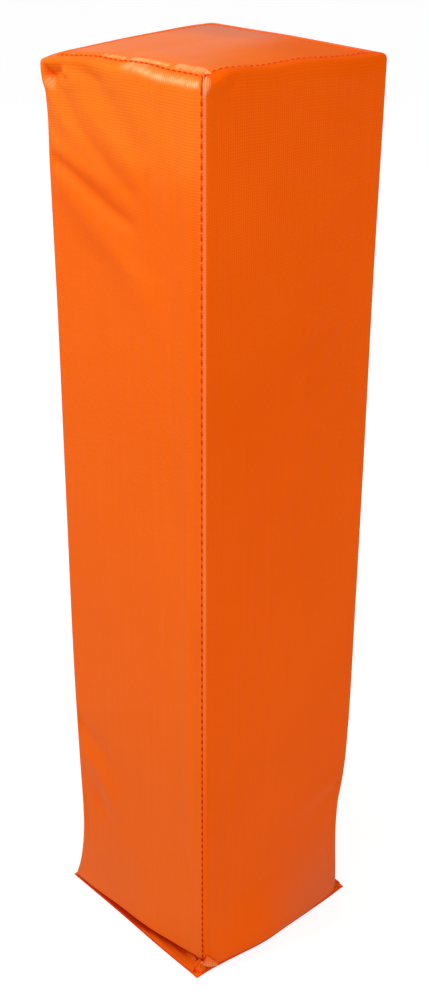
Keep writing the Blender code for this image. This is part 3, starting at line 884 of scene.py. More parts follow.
# %% Curl the ends of the hem
CURL_ROWS = 9
CURLS = [
    (0.4, [
        (49.4, -51.2, 8.3, 9.0), (50.0, -50.8, 8.2, 9.6), (50.5, -50.3, 7.6, 10.6), (51.0, -49.6, 7.0, 11.8),
        (51.3, -49.1, 6.6, 13.0), (51.9, -47.6, 5.9, 11.7), (52.3, -45.9, 5.3, 9.6), (52.5, -44.2, 4.6, 7.6),
        (52.5, -42.6, 3.8, 5.8),
    ]),
    (0.2, [
        (48.0, -52.2, 4.6, 6.4), (48.4, -52.0, 5.2, 7.6), (48.8, -51.9, 6.8, 9.0), (49.2, -51.7, 8.6, 10.0),
        (49.8, -51.3, 9.4, 10.6), (50.6, -50.7, 9.6, 10.6),
    ]),
    (0.0, [
        (42.0, -52.3, 0.9, 1.7), (43.4, -52.1, 0.9, 3.6), (44.8, -51.8, 0.9, 5.6), (46.2, -51.5, 0.9, 7.4),
        (47.4, -51.2, 0.9, 8.8), (48.4, -50.7, 0.9, 8.8), (48.7, -49.6, 0.9, 7.6), (48.8, -48.0, 0.9, 6.5),
    ]),
]


def hem_curl(line, highlight):
    """A curled strip of the hem's end, upright along a line of (x, y, lower edge, upper edge)."""
    steps = np.linspace(0, len(line) - 1, 8 * len(line))
    x, y, low, high = (curve(list(enumerate(column)), steps) for column in np.array(line, dtype=float).T)
    rows = []
    for share in np.linspace(0, 1, CURL_ROWS):
        inward = (1 - (1 - share) ** 2) * (high - low) / 8
        rows.append(np.column_stack([x - 1.2 * inward, y + 0.9 * inward, low + (high - low) * share]))
    places = np.stack(rows)
    shape = places.shape[:2]
    # A pale painted highlight, strongest at the lower edge, and a little painted light and painted shade over
    # each strip.
    edge = highlight * np.linspace(1.0, 0.4, CURL_ROWS)[:, None] ** 2 * np.ones(shape)
    paint = [("lit_pale", np.full(shape, 0.3)), ("highlight", edge), ("painted_shade", np.full(shape, 0.12))]
    upright = flat_steps(places[:, shape[1] // 2])
    return sheet_mesh("hem_curl", places, flat_steps(places[0]), upright, paint=paint)


def add_to_mesh(mesh, more):
    """Joins a second mesh to the first."""
    bm = bmesh.new()
    bm.from_mesh(mesh)
    bm.from_mesh(more)
    bm.to_mesh(mesh)
    bm.free()


print("curled ends:", len(CURLS))

# %% [markdown]
# ## The side wrap
# Now the strip can be made. Its columns run from the seam to the left, so its faces have to be turned
# outwards once. The cloth's flat size is measured along one row and one column.

# %% Make the side wrap
middle_column = hidden + SIDE_CELLS // 2
middle_row = int(np.argmin(np.abs(wrap[:, middle_column, 2] - 200.0)))
wrap_x = flat_steps(wrap[middle_row])
wrap_y = flat_steps(wrap[:, middle_column])
side_mesh = sheet_mesh("cover_side_wrap", wrap, wrap_x, wrap_y, wrap_cell, marks)
side_mesh.flip_normals()
for highlight, line in CURLS:
    add_to_mesh(side_mesh, hem_curl(line, highlight))
side_wrap = add_piece("cover_side_wrap", side_mesh, "side_wrap")
thicken(side_wrap, CLOTH, 1)
print("cloth", round(wrap_x[-1], 4), "by", round(wrap_y[-1], 4), "m,", len(side_mesh.polygons), "faces")

# %% [markdown]
# ## The top panel
# A square of the same cloth. Its edges turn under at the seam, and between the stitches they puff up, most
# along the front where the foam presses the cloth into the seam. Each of the four edges is a flap of its
# own, mitred at the corners, so the corner cells of the grid are left out.

# %% Shape the top panel
PANEL_CELLS = 92
PANEL_ROLL = 0.8
PANEL_ROLL_CELLS = 5
PANEL_INSET = TOP_ROLL + 2 * GROOVE_ROLL + 0.5
PANEL_ALLOWANCE = 6.0
CROWN = 1.0
PUFF_DIPS = (-1.5, 24.5)
PUFF_HALF = 22
PUFF_WIDTH = 2.6
PUFF_LEAST = 0.3
PUFF_FRONT = 0.35
PUFF_RIGHT = 1.15
PANEL_SINK = 0.25
PANEL_PUCKER = 0.16


def panel_profile():
    """(out, drop) of the edge as it turns under, from the panel to the end of its allowance."""
    turns = np.radians(np.linspace(0, 180, PANEL_ROLL_CELLS + 1)[1:])
    profile = [(PANEL_ROLL * math.sin(turn), PANEL_ROLL * (1 - math.cos(turn))) for turn in turns]
    return profile + [(-PANEL_ALLOWANCE / 2, 2 * PANEL_ROLL), (-PANEL_ALLOWANCE, 2 * PANEL_ROLL)]


def panel_places():
    """The panel's places: an inner square of cells, and on each side the rows that turn under."""
    profile = panel_profile()
    extra = len(profile)
    count = PANEL_CELLS + 1 + 2 * extra
    corners = corner_points(ROLL_START, PANEL_INSET)
    steps = np.arange(count) - extra
    share = np.clip(steps / PANEL_CELLS, 0, 1)
    a, b = np.meshgrid(share, share)
    flat = np.zeros((count, count, 3))
    for k in range(2):
        front = corners["front_left"][k] * (1 - a) + corners["seam"][k] * a
        rear = corners["back_left"][k] * (1 - a) + corners["back_right"][k] * a
        flat[..., k] = front * (1 - b) + rear * b
    side = 2 * (HALF_WIDTH - PANEL_INSET)
    to_edge = np.minimum(np.minimum(a, 1 - a), np.minimum(b, 1 - b)) * side
    dome = 16 * a * (1 - a) * b * (1 - b)
    across = (a - 0.5) * side
    fuller = ease((across - PUFF_HALF) / 8)
    ridge = bell(b * side - 1.2 - 0.5 * fuller, 1.3) * ease((across + PUFF_HALF) / 8)
    for dip in PUFF_DIPS:
        ridge *= 1 - 0.8 * bell(across - dip, 1.6)
    puff = PUFF_LEAST + ridge * (PUFF_FRONT + PUFF_RIGHT * fuller)
    nearest = np.where(np.minimum(b, 1 - b) < np.minimum(a, 1 - a), a, b)
    stitched = np.cos(2 * np.pi * nearest * side / TOP_STITCH)
    flat[..., 2] = EDGE_TOP - PANEL_SINK + CROWN * dome + puff * ease(to_edge / PUFF_WIDTH)
    flat[..., 2] += PANEL_PUCKER * stitched * np.exp(-to_edge / 1.6)
    for n, (out, drop) in enumerate(profile, start=1):
        for edge in (extra - n, count - 1 - extra + n):
            way = -1 if edge < extra else 1
            flat[:, edge, 0] += way * out
            flat[:, edge, 2] -= drop
            flat[edge, :, 1] += way * out
            flat[edge, :, 2] -= drop
            mitre = 1 + min(out, 0) / (side / 2)
            flat[:, edge, 1] *= mitre
            flat[edge, :, 0] *= mitre
    return flat, extra, count, ridge


panel, panel_extra, panel_count, panel_ridge = panel_places()
panel = settle(panel)
print("the top panel rises to", round(float(panel[..., 2].max()), 1), "mm")

# %% [markdown]
# ## Paint and make the top panel
# The panel has the same kinds of paint as the wrap: painted light paler towards the front, duller towards the
# right and along the front edge, a greyish painted sheen towards the back left, and painted highlights on the
# puffs between the stitches.


# %% Make the top panel
def panel_cell(row, col):
    """All cells but those where two flaps would meet."""
    last = panel_count - 1 - panel_extra
    return not ((row < panel_extra or row >= last) and (col < panel_extra or col >= last))


def panel_paint():
    """Every kind of mark on the panel: its name, and its value on each vertex."""
    x, y = panel[..., 0], panel[..., 1]
    from_front = ease((y + 47) / 7)
    # Painted light: paler towards the front, less towards the back and the right.
    lit_pale = 0.8 + 0.2 * ease((-20 - y) / 26) - 0.15 * ease((y - 5) / 20) - 0.3 * ease((x + y - 10) / 40)
    # Painted highlights on the crests of the puffs.
    highlight = np.clip((panel_ridge - 0.45) * (1.6 + 2.2 * waves(panel, 1.6, 13)), 0, 1)
    dull = np.maximum(0.9 * ease((x + 0.4 * y - 4) / 40), 0.8 * (1 - from_front))
    # Painted sheen: greyish towards the back left, and a little all over but the front edge.
    sheen = 0.08 * from_front + 0.45 * ease(y / 36) * ease((15 - x) / 40)
    return [("lit_pale", lit_pale), ("highlight", highlight), ("dull", dull), ("sheen", sheen)]


panel_flat = flat_steps(panel[panel_count // 2])
top_mesh = sheet_mesh("cover_top_panel", panel, panel_flat, panel_flat, panel_cell, panel_paint())
top_panel = add_piece("cover_top_panel", top_mesh, "top_panel")
thicken(top_panel, CLOTH)
print("top panel", round(panel_flat[-1], 4), "m of cloth,", len(top_mesh.polygons), "faces")

# %% [markdown]
# ## The base panel
# A flat sheet with raw edges, wider than the body, so it peeps out all round. It was cut by hand: its edge
# bulges along the right, and near the front corner it was cut short.

# %% Make the base panel
BASE_CELLS = 60
base_steps = np.linspace(-BASE_HALF, BASE_HALF, BASE_CELLS + 1)
edge_x, edge_y = base_edge(*np.meshgrid(base_steps, base_steps))
base_places = np.stack([edge_x, edge_y, np.full(edge_x.shape, CLOTH)], axis=2)
base_flat = (base_steps - base_steps[0]) * MM
base_mesh = sheet_mesh("cover_base_panel", base_places, base_flat, base_flat)
base_panel = add_piece("cover_base_panel", base_mesh, "base_panel")
thicken(base_panel, CLOTH, 1)
print("base panel", round(base_flat[-1], 4), "m wide")

# %% [markdown]
# ## Stitches
# A sewn stitch shows as a short dash: the thread comes up, lies on the cloth, and dives in again. Each dash
# is a stretched little ball, laid along the seam. Hundreds of them need to be light, so each has only a few
# dozen faces.

# %% Lay stitches along a seam
DASH_CELLS = 6


def add_dash(bm, light_layer, place, run, length, width, light_and_shade):
    """One dash at a place, laid along a direction; the sizes are in millimetres."""
    turn = Vector(run).to_track_quat("X", "Z").to_matrix().to_4x4()
    size = Matrix.Diagonal((length / 2 * MM, width / 2 * MM, width / 2 * MM, 1))
    spot = Matrix.Translation(Vector(place) * MM)
    made = bmesh.ops.create_uvsphere(
        bm, u_segments=DASH_CELLS, v_segments=DASH_CELLS, radius=1, matrix=spot @ turn @ size
    )
    for vert in made["verts"]:
        vert[light_layer] = light_and_shade


def lay_stitches(name, node, places, length, width, ticks=()):
    """A dash at each place, along the line through all of them, and ticks of (place, run, length, width)."""
    bm = bmesh.new()
    light_and_shade = bm.verts.layers.float.new("light_and_shade")
    for place, run in zip(places, np.gradient(places, axis=0)):
        # Painted light and shade: a stitch is painted darker red low down and paler higher up, with a little
        # at random.
        bright = 0.4 * float(ease((place[2] - 120) / 320))
        add_dash(bm, light_and_shade, place, run, length, width, bright + 0.12 * (1 + noise.noise(Vector(place) / 7.0)))
    # Each tick is painted full pale, a painted highlight.
    for tick in ticks:
        add_dash(bm, light_and_shade, *tick, 1.0)
    piece = add_piece(name, finished_mesh(bm, name), node)
    print(name, "has", len(places) + len(ticks), "stitches")
    return piece


print("each stitch has", DASH_CELLS**2, "faces")

# %% [markdown]
# ## The stitching down the front corner
# The stitches lie in the groove between the two folds of the seam, one every four millimetres. Higher up,
# loops of thread cross the seam between them, and at the very top a few longer loops hold its end. The
# loops are painted pale, a painted highlight, and the stitches are paler higher up, which is painted light.

# %% Stitch the front corner
TOP_LOOPS = [(46.3, -46.3, 455.8), (46.9, -46.9, 455.5), (47.9, -47.9, 454.8)]
stitch_heights = np.arange(12.0, ROLL_START + 1.0, STITCH)


def groove_places(heights, depth):
    """Places along the front corner's groove, this deep below the round edge."""
    found = []
    angle = math.radians(-GROOVE_ANGLE)
    reach = EDGE_RADIUS - depth
    for height in heights:
        x, y = corner_points(height)["seam"]
        x, y = x - EDGE_RADIUS + reach * math.cos(angle), y + EDGE_RADIUS + reach * math.sin(angle)
        found.append((x, y, height))
    return np.array(found)


def roll_places(depth):
    """Places where the groove goes over the top's roll."""
    found = []
    angle = math.radians(-GROOVE_ANGLE)
    for turn in np.radians([30, 55, 78]):
        corner = HALF_WIDTH - TOP_ROLL * (1 - math.cos(turn))
        radius = EDGE_RADIUS - 0.3 * math.sin(turn)
        reach = radius - depth
        x, y = corner - radius + reach * math.cos(angle), radius - corner + reach * math.sin(angle)
        found.append((x, y, ROLL_START + TOP_ROLL * math.sin(turn)))
    return np.array(found)


corner_line = settle(np.concatenate([groove_places(stitch_heights, 0.25), roll_places(0.1)]))
tick_line = settle(groove_places(stitch_heights[:-1] + STITCH / 2, 0.0))
across_seam = Vector((math.sin(math.radians(GROOVE_ANGLE)), math.cos(math.radians(GROOVE_ANGLE)), 0.0))
ticks = []
for n, place in enumerate(tick_line):
    size = float(ease((place[2] - 260) / 160)) * (0.9 + 0.3 * noise.noise(Vector(place) / 3.0))
    if size > 0.3 and n % 7 != 3:
        ticks.append((Vector(place) - across_seam * 0.3, across_seam, 1.6 * size, 0.45 * size))
for place in settle(np.array(TOP_LOOPS)):
    ticks.append((Vector(place), across_seam, 2.6, 0.8))
corner_thread = lay_stitches(
    "stitching_front_corner", "corner_seam_thread", corner_line, 2.5, 0.95, ticks
)

# %% [markdown]
# ## The stitching round the top
# It follows the groove between the roll and the top panel, with a shorter stitch. At the front and the
# right the thread rides up on the roll. On the other two sides it has pulled down into the groove.


# %% Stitch round the top
def ring_places(corners, height, inset=1.5, pitch=STITCH):
    """Stitch places along the four sides between these corners, clockwise from the seam."""
    names = list(CORNERS)
    found = []
    for n, name in enumerate(names):
        start = np.array(corners[name])
        end = np.array(corners[names[(n + 1) % 4]])
        run = end - start
        length = np.linalg.norm(run)
        count = int((length - 2 * inset) / pitch)
        for share in (np.arange(count + 1) * pitch + (length - count * pitch) / 2) / length:
            found.append((*(start + run * share), height))
    return np.array(found)


top_corners = corner_points(ROLL_START, TOP_ROLL + GROOVE_ROLL - 0.2)
top_line = ring_places(top_corners, EDGE_TOP - 0.1, pitch=TOP_STITCH)
sunk = (top_line[:, 0] < -44) | (top_line[:, 1] > 44)
top_line[sunk, :2] *= 0.992
top_line[sunk, 2] -= 0.75
top_thread = lay_stitches("stitching_top", "top_seam_thread", settle(top_line), 1.75, 1.15)

# %% [markdown]
# ## The stitching on the base
# It holds the hem tabs to the base panel, beside the crease and under the overhang of the fold.

# %% Stitch the base
BASE_SEAM_REACH = 48.2
base_line = ring_places(square_corners(BASE_SEAM_REACH), TAB_TOP + 0.15, 3.0)
base_thread = lay_stitches("stitching_base", "base_seam_thread", base_line, 2.6, 0.6)

# %% [markdown]
# ## The foam block
# Closed-cell foam, cut from a slab, so its edges are nearly sharp. It is hidden, but it is there when the
# cover comes off. Straight knife cuts give the block enough places to be pressed in wherever the cover is
# creased.

# %% Cut the foam block
FOAM_HALF = 50.0
FOAM_BOTTOM = 59.5
FOAM_TOP = 453.2
FOAM_ROUNDING = 2.4

bm = bmesh.new()
bmesh.ops.create_cube(bm, size=1)
bmesh.ops.scale(bm, vec=(2 * FOAM_HALF, 2 * FOAM_HALF, FOAM_TOP - FOAM_BOTTOM), verts=bm.verts)
bmesh.ops.translate(bm, vec=(0, 0, (FOAM_TOP + FOAM_BOTTOM) / 2), verts=bm.verts)
bmesh.ops.bevel(
    bm, geom=bm.edges[:], offset=FOAM_ROUNDING, segments=3, profile=0.5, affect="EDGES", material=-1
)
along_cuts = np.linspace(-46.8, 46.8, 40)
height_cuts = np.concatenate(
    [np.linspace(62.5, 375, 24), np.arange(378, 430, 2.6), np.arange(431, 450.5, 1.5)]
)
for axis, cuts in ((0, along_cuts), (1, along_cuts), (2, height_cuts)):
    for cut in cuts:
        place = Vector([float(cut) if n == axis else 0.0 for n in range(3)])
        way = Vector([1.0 if n == axis else 0.0 for n in range(3)])
        bmesh.ops.bisect_plane(bm, geom=bm.verts[:] + bm.edges[:] + bm.faces[:], plane_co=place, plane_no=way)
print("the cut block has", len(bm.verts), "places")

# %% [markdown]
# ## The foam, pressed in
# The cover draws the foam's corners in, its seam allowances dent the front corner, and its creases press
# into the sides. The foam's top has sunk with the cover.

# %% Press the foam in
SEAM_DENT = 1.3
DENT_FROM = 37
FOAM_PRESS = 1.15
FOAM_GAP = 0.2

for vert in bm.verts:
    for name, (sx, sy) in CORNERS.items():
        near = max(0.0, sx * vert.co.x / FOAM_HALF) * max(0.0, sy * vert.co.y / FOAM_HALF)
        drawn = HALF_WIDTH - float(curve(REACH[name], vert.co.z))
        vert.co.x -= sx * near * max(drawn, 0.0)
        vert.co.y -= sy * near * max(drawn, 0.0)
    if vert.co.x > DENT_FROM and vert.co.y < -DENT_FROM:
        press = ease((vert.co.x - DENT_FROM) / 3) * ease((-vert.co.y - DENT_FROM) / 3)
        vert.co.x -= SEAM_DENT * float(press)
        vert.co.y += SEAM_DENT * float(press)
foam_mesh = finished_mesh(bm, "foam_block")
foam_places = np.zeros(len(foam_mesh.vertices) * 3)
foam_mesh.vertices.foreach_get("co", foam_places)
foam_places = foam_places.reshape(-1, 3)
foam_places[:, :2] += waves(foam_places, 60.0, 5)[:, None] * 0.1
for side, (axis, other, way) in SIDES.items():
    near = ease((way * foam_places[:, axis] - 40) / 9)
    rise = crease_rise(side, foam_places[:, other], settle(foam_places)[:, 2])
    foam_places[:, axis] += way * (np.minimum(rise, 0) * FOAM_PRESS - FOAM_GAP) * near
foam_places = settle(foam_places)
foam_mesh.vertices.foreach_set("co", (foam_places * MM).ravel())
foam_block = add_piece("foam_block", foam_mesh, "foam_core")
print("foam block", len(foam_mesh.vertices), "vertices")

# %% [markdown]
# ## The sack of sand
# Two square sheets of canvas, sewn together round a flat rim and filled with sand. The filling makes each
# half swell, most in the middle, and draws the sides in between the corners, as on a cushion.

# %% Make the two halves of the sack
SACK_MIDDLE = 30.05
SACK_REACH = 47.0
SACK_RIM = 4.2
SACK_HALF = 28.5
SACK_CELLS = 56
SACK_SLOPE = 12.0
SACK_DRAW = 0.035
SACK_CROWN = 0.10
RUMPLE = 0.7
RIM_RISE = 0.4
CANVAS = 0.5


def sack_half(way):
    """Places of one half: a flat rim, steep sides and a softly rumpled, crowned face."""
    steps = np.linspace(-1, 1, SACK_CELLS + 1)
    steps = np.sign(steps) * np.abs(steps) ** 0.8
    a, b = np.meshgrid(steps, steps)
    places = np.zeros((*a.shape, 3))
    places[..., 0] = SACK_REACH * a * (1 - SACK_DRAW * (1 - b**2) * np.abs(a) ** 3)
    places[..., 1] = SACK_REACH * b * (1 - SACK_DRAW * (1 - a**2) * np.abs(b) ** 3)
    inside = 1 - np.maximum(np.abs(places[..., 0]), np.abs(places[..., 1])) / (SACK_REACH - SACK_RIM)
    rise = np.clip(inside * (SACK_REACH - SACK_RIM) / SACK_SLOPE, 0, 1)
    crown = 1 - SACK_CROWN * (a**2 + b**2) / 2
    height = RIM_RISE + (SACK_HALF - RIM_RISE) * np.sqrt(1 - (1 - rise) ** 2.4) * crown
    places[..., 2] = SACK_MIDDLE + way * height
    soft = waves(places, 13.0, 7 + way)
    places[..., 2] -= way * RUMPLE * (soft + 0.4) * rise
    return places


sack_places = {1: sack_half(1), -1: sack_half(-1)}
sack_flat = flat_steps(sack_places[1][SACK_CELLS // 2])
sack = {}
for way, name, node in ((1, "sack_upper", "weight_bag_upper"), (-1, "sack_lower", "weight_bag_lower")):
    mesh = sheet_mesh(name, sack_places[way], sack_flat, sack_flat)
    if way < 0:
        mesh.flip_normals()
    sack[way] = add_piece(name, mesh, node)
    thicken(sack[way], CANVAS)
print("each half is cut", round(sack_flat[-1], 4), "m square")

# %% [markdown]
# ## The sand
# The sand fills the sack to its cloth, so it has the same shape, a little smaller.

# %% Make the sand
SAND_SHARE = 0.885
SAND_GAP = 1.0

bm = bmesh.new()
bmesh.ops.create_grid(bm, x_segments=SACK_CELLS, y_segments=SACK_CELLS, size=1)
copied = bmesh.ops.duplicate(bm, geom=bm.verts[:] + bm.edges[:] + bm.faces[:])
lower = {item for item in copied["geom"] if isinstance(item, bmesh.types.BMVert)}
bmesh.ops.reverse_faces(bm, faces=[item for item in copied["geom"] if isinstance(item, bmesh.types.BMFace)])
for vert in bm.verts:
    way = -1 if vert in lower else 1
    place = sack_places[way][grid_spot(vert, SACK_CELLS + 1, SACK_CELLS + 1)]
    inner = max(abs(place[2] - SACK_MIDDLE) - SAND_GAP, 0.0)
    vert.co = Vector((place[0] * SAND_SHARE, place[1] * SAND_SHARE, SACK_MIDDLE + way * inner)) * MM
bmesh.ops.remove_doubles(bm, verts=bm.verts, dist=0.02 * MM)
bmesh.ops.recalc_face_normals(bm, faces=bm.faces)
sand_mesh = finished_mesh(bm, "sand_in_sack")
sand = add_piece("sand_in_sack", sand_mesh, "sand_fill")
print("sand:", len(sand_mesh.polygons), "faces")

# %% [markdown]
# ## The sack's stitching
# One line of pale stitches in the middle of the rim.

# %% Stitch the sack
rim_line = ring_places(square_corners(SACK_REACH - SACK_RIM / 2), SACK_MIDDLE + 1.1)
sack_thread = lay_stitches("stitching_sack", "weight_bag_thread", rim_line, 2.6, 0.7)

# %% [markdown]
# ## Materials
# A Principled shader is the start of each finish, and a few nodes give it what the real one shows. Helpers
# keep the node trees short to read.


# %% Helpers for numbers in materials
def new_material(name):
    """A material, its node tree and its Principled shader."""
    made = bpy.data.materials.new(name)
    made.use_nodes = True
    return made, made.node_tree, made.node_tree.nodes["Principled BSDF"]


def set_inputs(node, values):
    """Gives a node's inputs, by name, plain values."""
    for name, value in values.items():
        node.inputs[name].default_value = value


def math_node(tree, kind, a, b=None):
    """A Math node; a and b are sockets or numbers."""
    node = tree.nodes.new("ShaderNodeMath")
    node.operation = kind
    for socket, value in zip(node.inputs, (a, b)):
        if isinstance(value, bpy.types.NodeSocket):
            tree.links.new(value, socket)
        elif value is not None:
            socket.default_value = value
    return node.outputs[0]


def plus(tree, a, b):
    """The sum of two sockets or numbers."""
    return math_node(tree, "ADD", a, b)


def times(tree, a, b):
    """The product of two sockets or numbers."""
    return math_node(tree, "MULTIPLY", a, b)


print("numbers can be added and multiplied in a node tree")

# %% [markdown]
# ## Patterns, colours and bumps
# A finish varies by a noise, by the cloth's own directions or by what is painted on it. Each helper adds
# one node and returns its socket, so the next helper can take it.


# %% Helpers for patterns, colours and bumps
def noise_node(tree, vector, scale, detail=2.0):
    """Cloudy noise from 0 to 1; a larger scale makes smaller clouds."""
    node = tree.nodes.new("ShaderNodeTexNoise")
    set_inputs(node, {"Scale": scale, "Detail": detail})
    tree.links.new(vector, node.inputs["Vector"])
    return node.outputs["Fac"]


def ramp_node(tree, factor, stops):
    """A colour ramp through (place, colour) stops."""
    node = tree.nodes.new("ShaderNodeValToRGB")
    elements = node.color_ramp.elements
    while len(elements) < len(stops):
        elements.new(0.5)
    for element, (place, colour) in zip(elements, stops):
        element.position = place
        element.color = (*colour, 1)
    tree.links.new(factor, node.inputs["Fac"])
    return node.outputs["Color"]


def mix_node(tree, factor, below, above):
    """Mixes two colours, each a socket or four numbers."""
    node = tree.nodes.new("ShaderNodeMix")
    node.data_type = "RGBA"
    tree.links.new(factor, node.inputs["Factor"])
    for socket, value in ((node.inputs[6], below), (node.inputs[7], above)):
        if isinstance(value, bpy.types.NodeSocket):
            tree.links.new(value, socket)
        else:
            socket.default_value = value
    return node.outputs[2]


def painted(tree, name):
    """A number that is stored on the piece's vertices."""
    node = tree.nodes.new("ShaderNodeAttribute")
    node.attribute_name = name
    return node.outputs["Fac"]


def bump_node(tree, height, distance, strength=1.0, below=None):
    """A normal that is tilted by a height; below is a coarser bump to add it to."""
    node = tree.nodes.new("ShaderNodeBump")
    set_inputs(node, {"Distance": distance, "Strength": strength})
    tree.links.new(height, node.inputs["Height"])
    if below is not None:
        tree.links.new(below, node.inputs["Normal"])
    return node.outputs["Normal"]


def coordinates(tree, kind):
    """Where the surface is, by its UV map or by its place on the object."""
    return tree.nodes.new("ShaderNodeTexCoord").outputs[kind]


print("a finish is built from its colour, its roughness and its bumps")

# %% [markdown]
# ## Coated cloth
# The cover is woven polyester under a smooth orange coating. The weave shows through as fine ribs both
# ways, a little over a millimetre apart. The coating has a soft shine, so the roughness is middling, and
# the reflection at right angles is tinted orange so that white light doesn't wash the colour out.

# %% Material of the cover
RIB_PITCH = 1.2 * MM
VALLEY_RED = (0.75, 0.06, 0.001, 1)
# The colours of painted shade, painted sheen and painted highlight.
SHADE_RED = (0.42, 0.015, 0.001, 1)
SHEEN_GREY = (0.50, 0.165, 0.095, 1)
HIGHLIGHT_PALE = (1.0, 0.50, 0.22, 1)


def coated_cloth(name):
    """Orange coated cloth with its weave, and the painted light, shade, sheen and highlights that lie on it.
    """
    made, tree, shader = new_material(name)
    uv = coordinates(tree, "UV")
    spot = coordinates(tree, "Object")
    parts = tree.nodes.new("ShaderNodeSeparateXYZ")
    tree.links.new(uv, parts.inputs[0])
    ribs = math_node(tree, "SINE", times(tree, parts.outputs[0], 2 * math.pi / RIB_PITCH))
    rows = math_node(tree, "SINE", times(tree, parts.outputs[1], 2 * math.pi / RIB_PITCH))
    weave = plus(tree, times(tree, ribs, 0.7), rows)
    patches = noise_node(tree, spot, 14.0, 3.0)
    grain = noise_node(tree, spot, 900.0, 2.0)
    stretched = tree.nodes.new("ShaderNodeMapping")
    set_inputs(stretched, {"Scale": (1.0, 0.03, 1.0)})
    tree.links.new(uv, stretched.inputs["Vector"])
    streaks = noise_node(tree, stretched.outputs["Vector"], 420.0, 1.0)
    # A deep colour, and a paler one for painted light, mixed by the paint.
    deep = ramp_node(tree, patches, [(0.25, (0.92, 0.111, 0.001)), (0.78, (0.99, 0.129, 0.003))])
    lit_pale = ramp_node(tree, patches, [(0.25, (0.97, 0.190, 0.010)), (0.78, (1.0, 0.216, 0.018))])
    colour = mix_node(tree, painted(tree, "lit_pale"), deep, lit_pale)
    valleys = times(tree, math_node(tree, "SUBTRACT", 1.0, weave), 0.06)
    valleys = plus(tree, valleys, times(tree, streaks, 0.12))
    colour = mix_node(tree, valleys, colour, VALLEY_RED)
    # Painted shade, then a greyish painted sheen, then pale painted highlights that show the weave's ribs.
    colour = mix_node(tree, painted(tree, "painted_shade"), colour, SHADE_RED)
    colour = mix_node(tree, painted(tree, "sheen"), colour, SHEEN_GREY)
    ribbed = plus(tree, times(tree, ribs, 0.3), 0.75)
    colour = mix_node(tree, times(tree, painted(tree, "highlight"), ribbed), colour, HIGHLIGHT_PALE)
    tree.links.new(colour, shader.inputs["Base Color"])
    rough = plus(tree, times(tree, patches, 0.16), 0.36)
    rough = plus(tree, rough, times(tree, painted(tree, "dull"), 0.45))
    tree.links.new(rough, shader.inputs["Roughness"])
    set_inputs(shader, {"Specular IOR Level": 0.04, "Specular Tint": (1.0, 0.35, 0.05, 1.0)})
    fine = bump_node(tree, weave, 0.06 * MM, 0.7)
    normal = bump_node(tree, grain, 0.04 * MM, 0.4, fine)
    tree.links.new(normal, shader.inputs["Normal"])
    return made


vinyl = coated_cloth("orange coated cloth")
for piece in (side_wrap, top_panel, base_panel):
    piece.data.materials.append(vinyl)
print("cover:", vinyl.name)

# %% [markdown]
# ## Cut cloth, thread, foam, canvas and sand
# Each is simple: a colour that varies a little, a roughness, and a bump at the scale of its grain. Where
# the cover's cloth was cut, its woven core shows deeper red. The orange thread's colour is painted light and
# shade on each stitch: dark red painted shade low down and deep in the seam, pale orange painted highlight
# higher up and on the loops that stand proud.


# %% Matt materials
def matt(name, stops, scale, depth, roughness, detail=4.0, shine=0.25, paint=None):
    """A matt material: one noise varies its surface, and its colour too unless paint names what does."""
    made, tree, shader = new_material(name)
    grain = noise_node(tree, coordinates(tree, "Object"), scale, detail)
    colour = ramp_node(tree, painted(tree, paint) if paint else grain, stops)
    tree.links.new(colour, shader.inputs["Base Color"])
    set_inputs(shader, {"Roughness": roughness, "Specular IOR Level": shine})
    tree.links.new(bump_node(tree, grain, depth * MM), shader.inputs["Normal"])
    return made


core_reds = [(0.35, (0.72, 0.022, 0.001)), (0.65, (0.92, 0.055, 0.003))]
foam_greys = [(0.3, (0.52, 0.51, 0.48)), (0.7, (0.72, 0.70, 0.66))]
canvas_browns = [(0.3, (0.42, 0.37, 0.28)), (0.7, (0.58, 0.53, 0.42))]
pale_greys = [(0.3, (0.66, 0.64, 0.56)), (0.7, (0.82, 0.80, 0.72))]
sand_browns = [(0.3, (0.38, 0.28, 0.17)), (0.7, (0.66, 0.53, 0.35))]
# The thread's colours, from dark red painted shade to pale orange painted highlight.
shade_to_highlight_oranges = [(0.0, (0.52, 0.012, 0.001)), (0.55, (0.80, 0.045, 0.001)), (1.0, (1.0, 0.24, 0.035))]
raw_edge = matt("cut edge of the cloth", core_reds, 1500, 0.05, 0.8, detail=2.0, shine=0.1)
foam_finish = matt("grey foam", foam_greys, 650, 0.25, 0.95)
canvas_finish = matt("sack canvas", canvas_browns, 1400, 0.12, 0.95)
pale_thread = matt("sack thread", pale_greys, 1800, 0.08, 0.85)
sand_finish = matt("sand", sand_browns, 2600, 0.3, 1.0)
orange_thread = matt("orange thread", shade_to_highlight_oranges, 1800, 0.08, 0.75, detail=3.0, shine=0.03, paint="light_and_shade")
for piece in (side_wrap, base_panel):
    piece.data.materials.append(raw_edge)
for piece in (corner_thread, top_thread, base_thread):
    piece.data.materials.append(orange_thread)
foam_block.data.materials.append(foam_finish)
for piece in sack.values():
    piece.data.materials.append(canvas_finish)
sack_thread.data.materials.append(pale_thread)
sand.data.materials.append(sand_finish)
print("finishes:", len(bpy.data.materials))

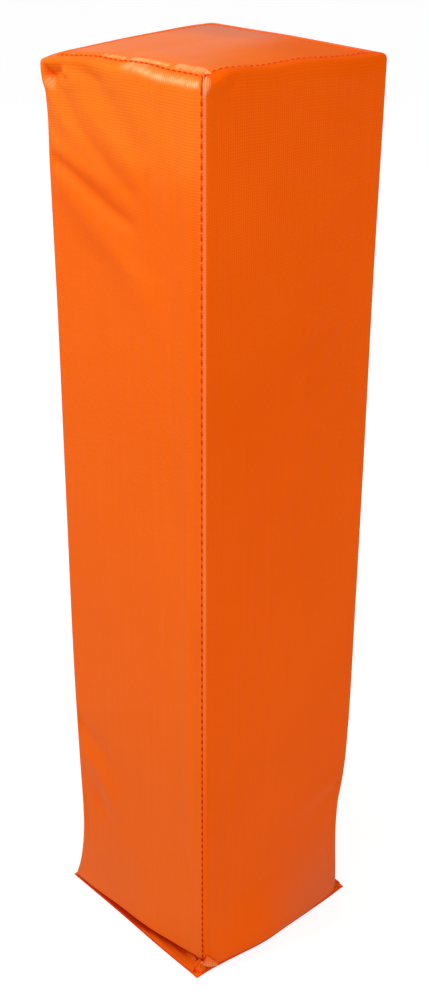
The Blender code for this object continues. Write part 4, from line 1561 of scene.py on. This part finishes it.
# %% [markdown]
# ## Floor and light
# A pale floor, a soft key lamp in front and above, and a weaker one at the right give the plain light of a
# product photo. What the camera sees of the world and the floor is lifted to white, but the light that
# falls on the pylon is not, so its colours stay.

# %% Floor
bm = bmesh.new()
bmesh.ops.create_grid(bm, x_segments=1, y_segments=1, size=6)
floor_mesh = finished_mesh(bm, "floor")
floor = add_object("floor", floor_mesh)


def seen_directly(tree):
    """1 for what the camera sees, straight, mirrored or through glass, and 0 for the light that falls."""
    path = tree.nodes.new("ShaderNodeLightPath")
    total = plus(tree, path.outputs["Is Camera Ray"], path.outputs["Is Glossy Ray"])
    total = plus(tree, total, path.outputs["Is Transmission Ray"])
    return math_node(tree, "MINIMUM", total, 1.0)


FLOOR_LIFT = 0.74
floor_finish, tree, shader = new_material("pale floor")
set_inputs(shader, {"Base Color": (0.46, 0.46, 0.46, 1), "Emission Color": (1, 1, 1, 1)})
set_inputs(shader, {"Roughness": 1.0, "Specular IOR Level": 0.0})
tree.links.new(times(tree, seen_directly(tree), FLOOR_LIFT), shader.inputs["Emission Strength"])
floor_mesh.materials.append(floor_finish)
print("floor", floor.dimensions.x, "m wide")

# %% World and lamps
world = bpy.data.worlds.new("studio")
bpy.context.scene.world = world
world.use_nodes = True
tree = world.node_tree
backdrop = tree.nodes["Background"]
set_inputs(backdrop, {"Color": (1, 1, 1, 1)})
AMBIENT = 0.52
strength = plus(tree, times(tree, seen_directly(tree), 1 - AMBIENT), AMBIENT)
tree.links.new(strength, backdrop.inputs["Strength"])


def softbox(name, place, target, size, power):
    """A square lamp at a place, turned towards a target."""
    lamp = bpy.data.lights.new(name, "AREA")
    lamp.shape = "SQUARE"
    lamp.size = size
    lamp.energy = power
    lamp_object = add_object(name, lamp)
    lamp_object.location = place
    lamp_object.rotation_euler = (Vector(target) - Vector(place)).to_track_quat("-Z", "Y").to_euler()


softbox("key lamp", (-0.27, -0.75, 1.05), (0, 0, 0.36), 0.35, 6.4)
softbox("fill lamp", (1.5, -0.6, 0.8), (0, 0, 0.25), 0.8, 11.6)
bpy.context.scene.view_settings.view_transform = "Standard"

# %% [markdown]

# %% End
print("the scene is built")
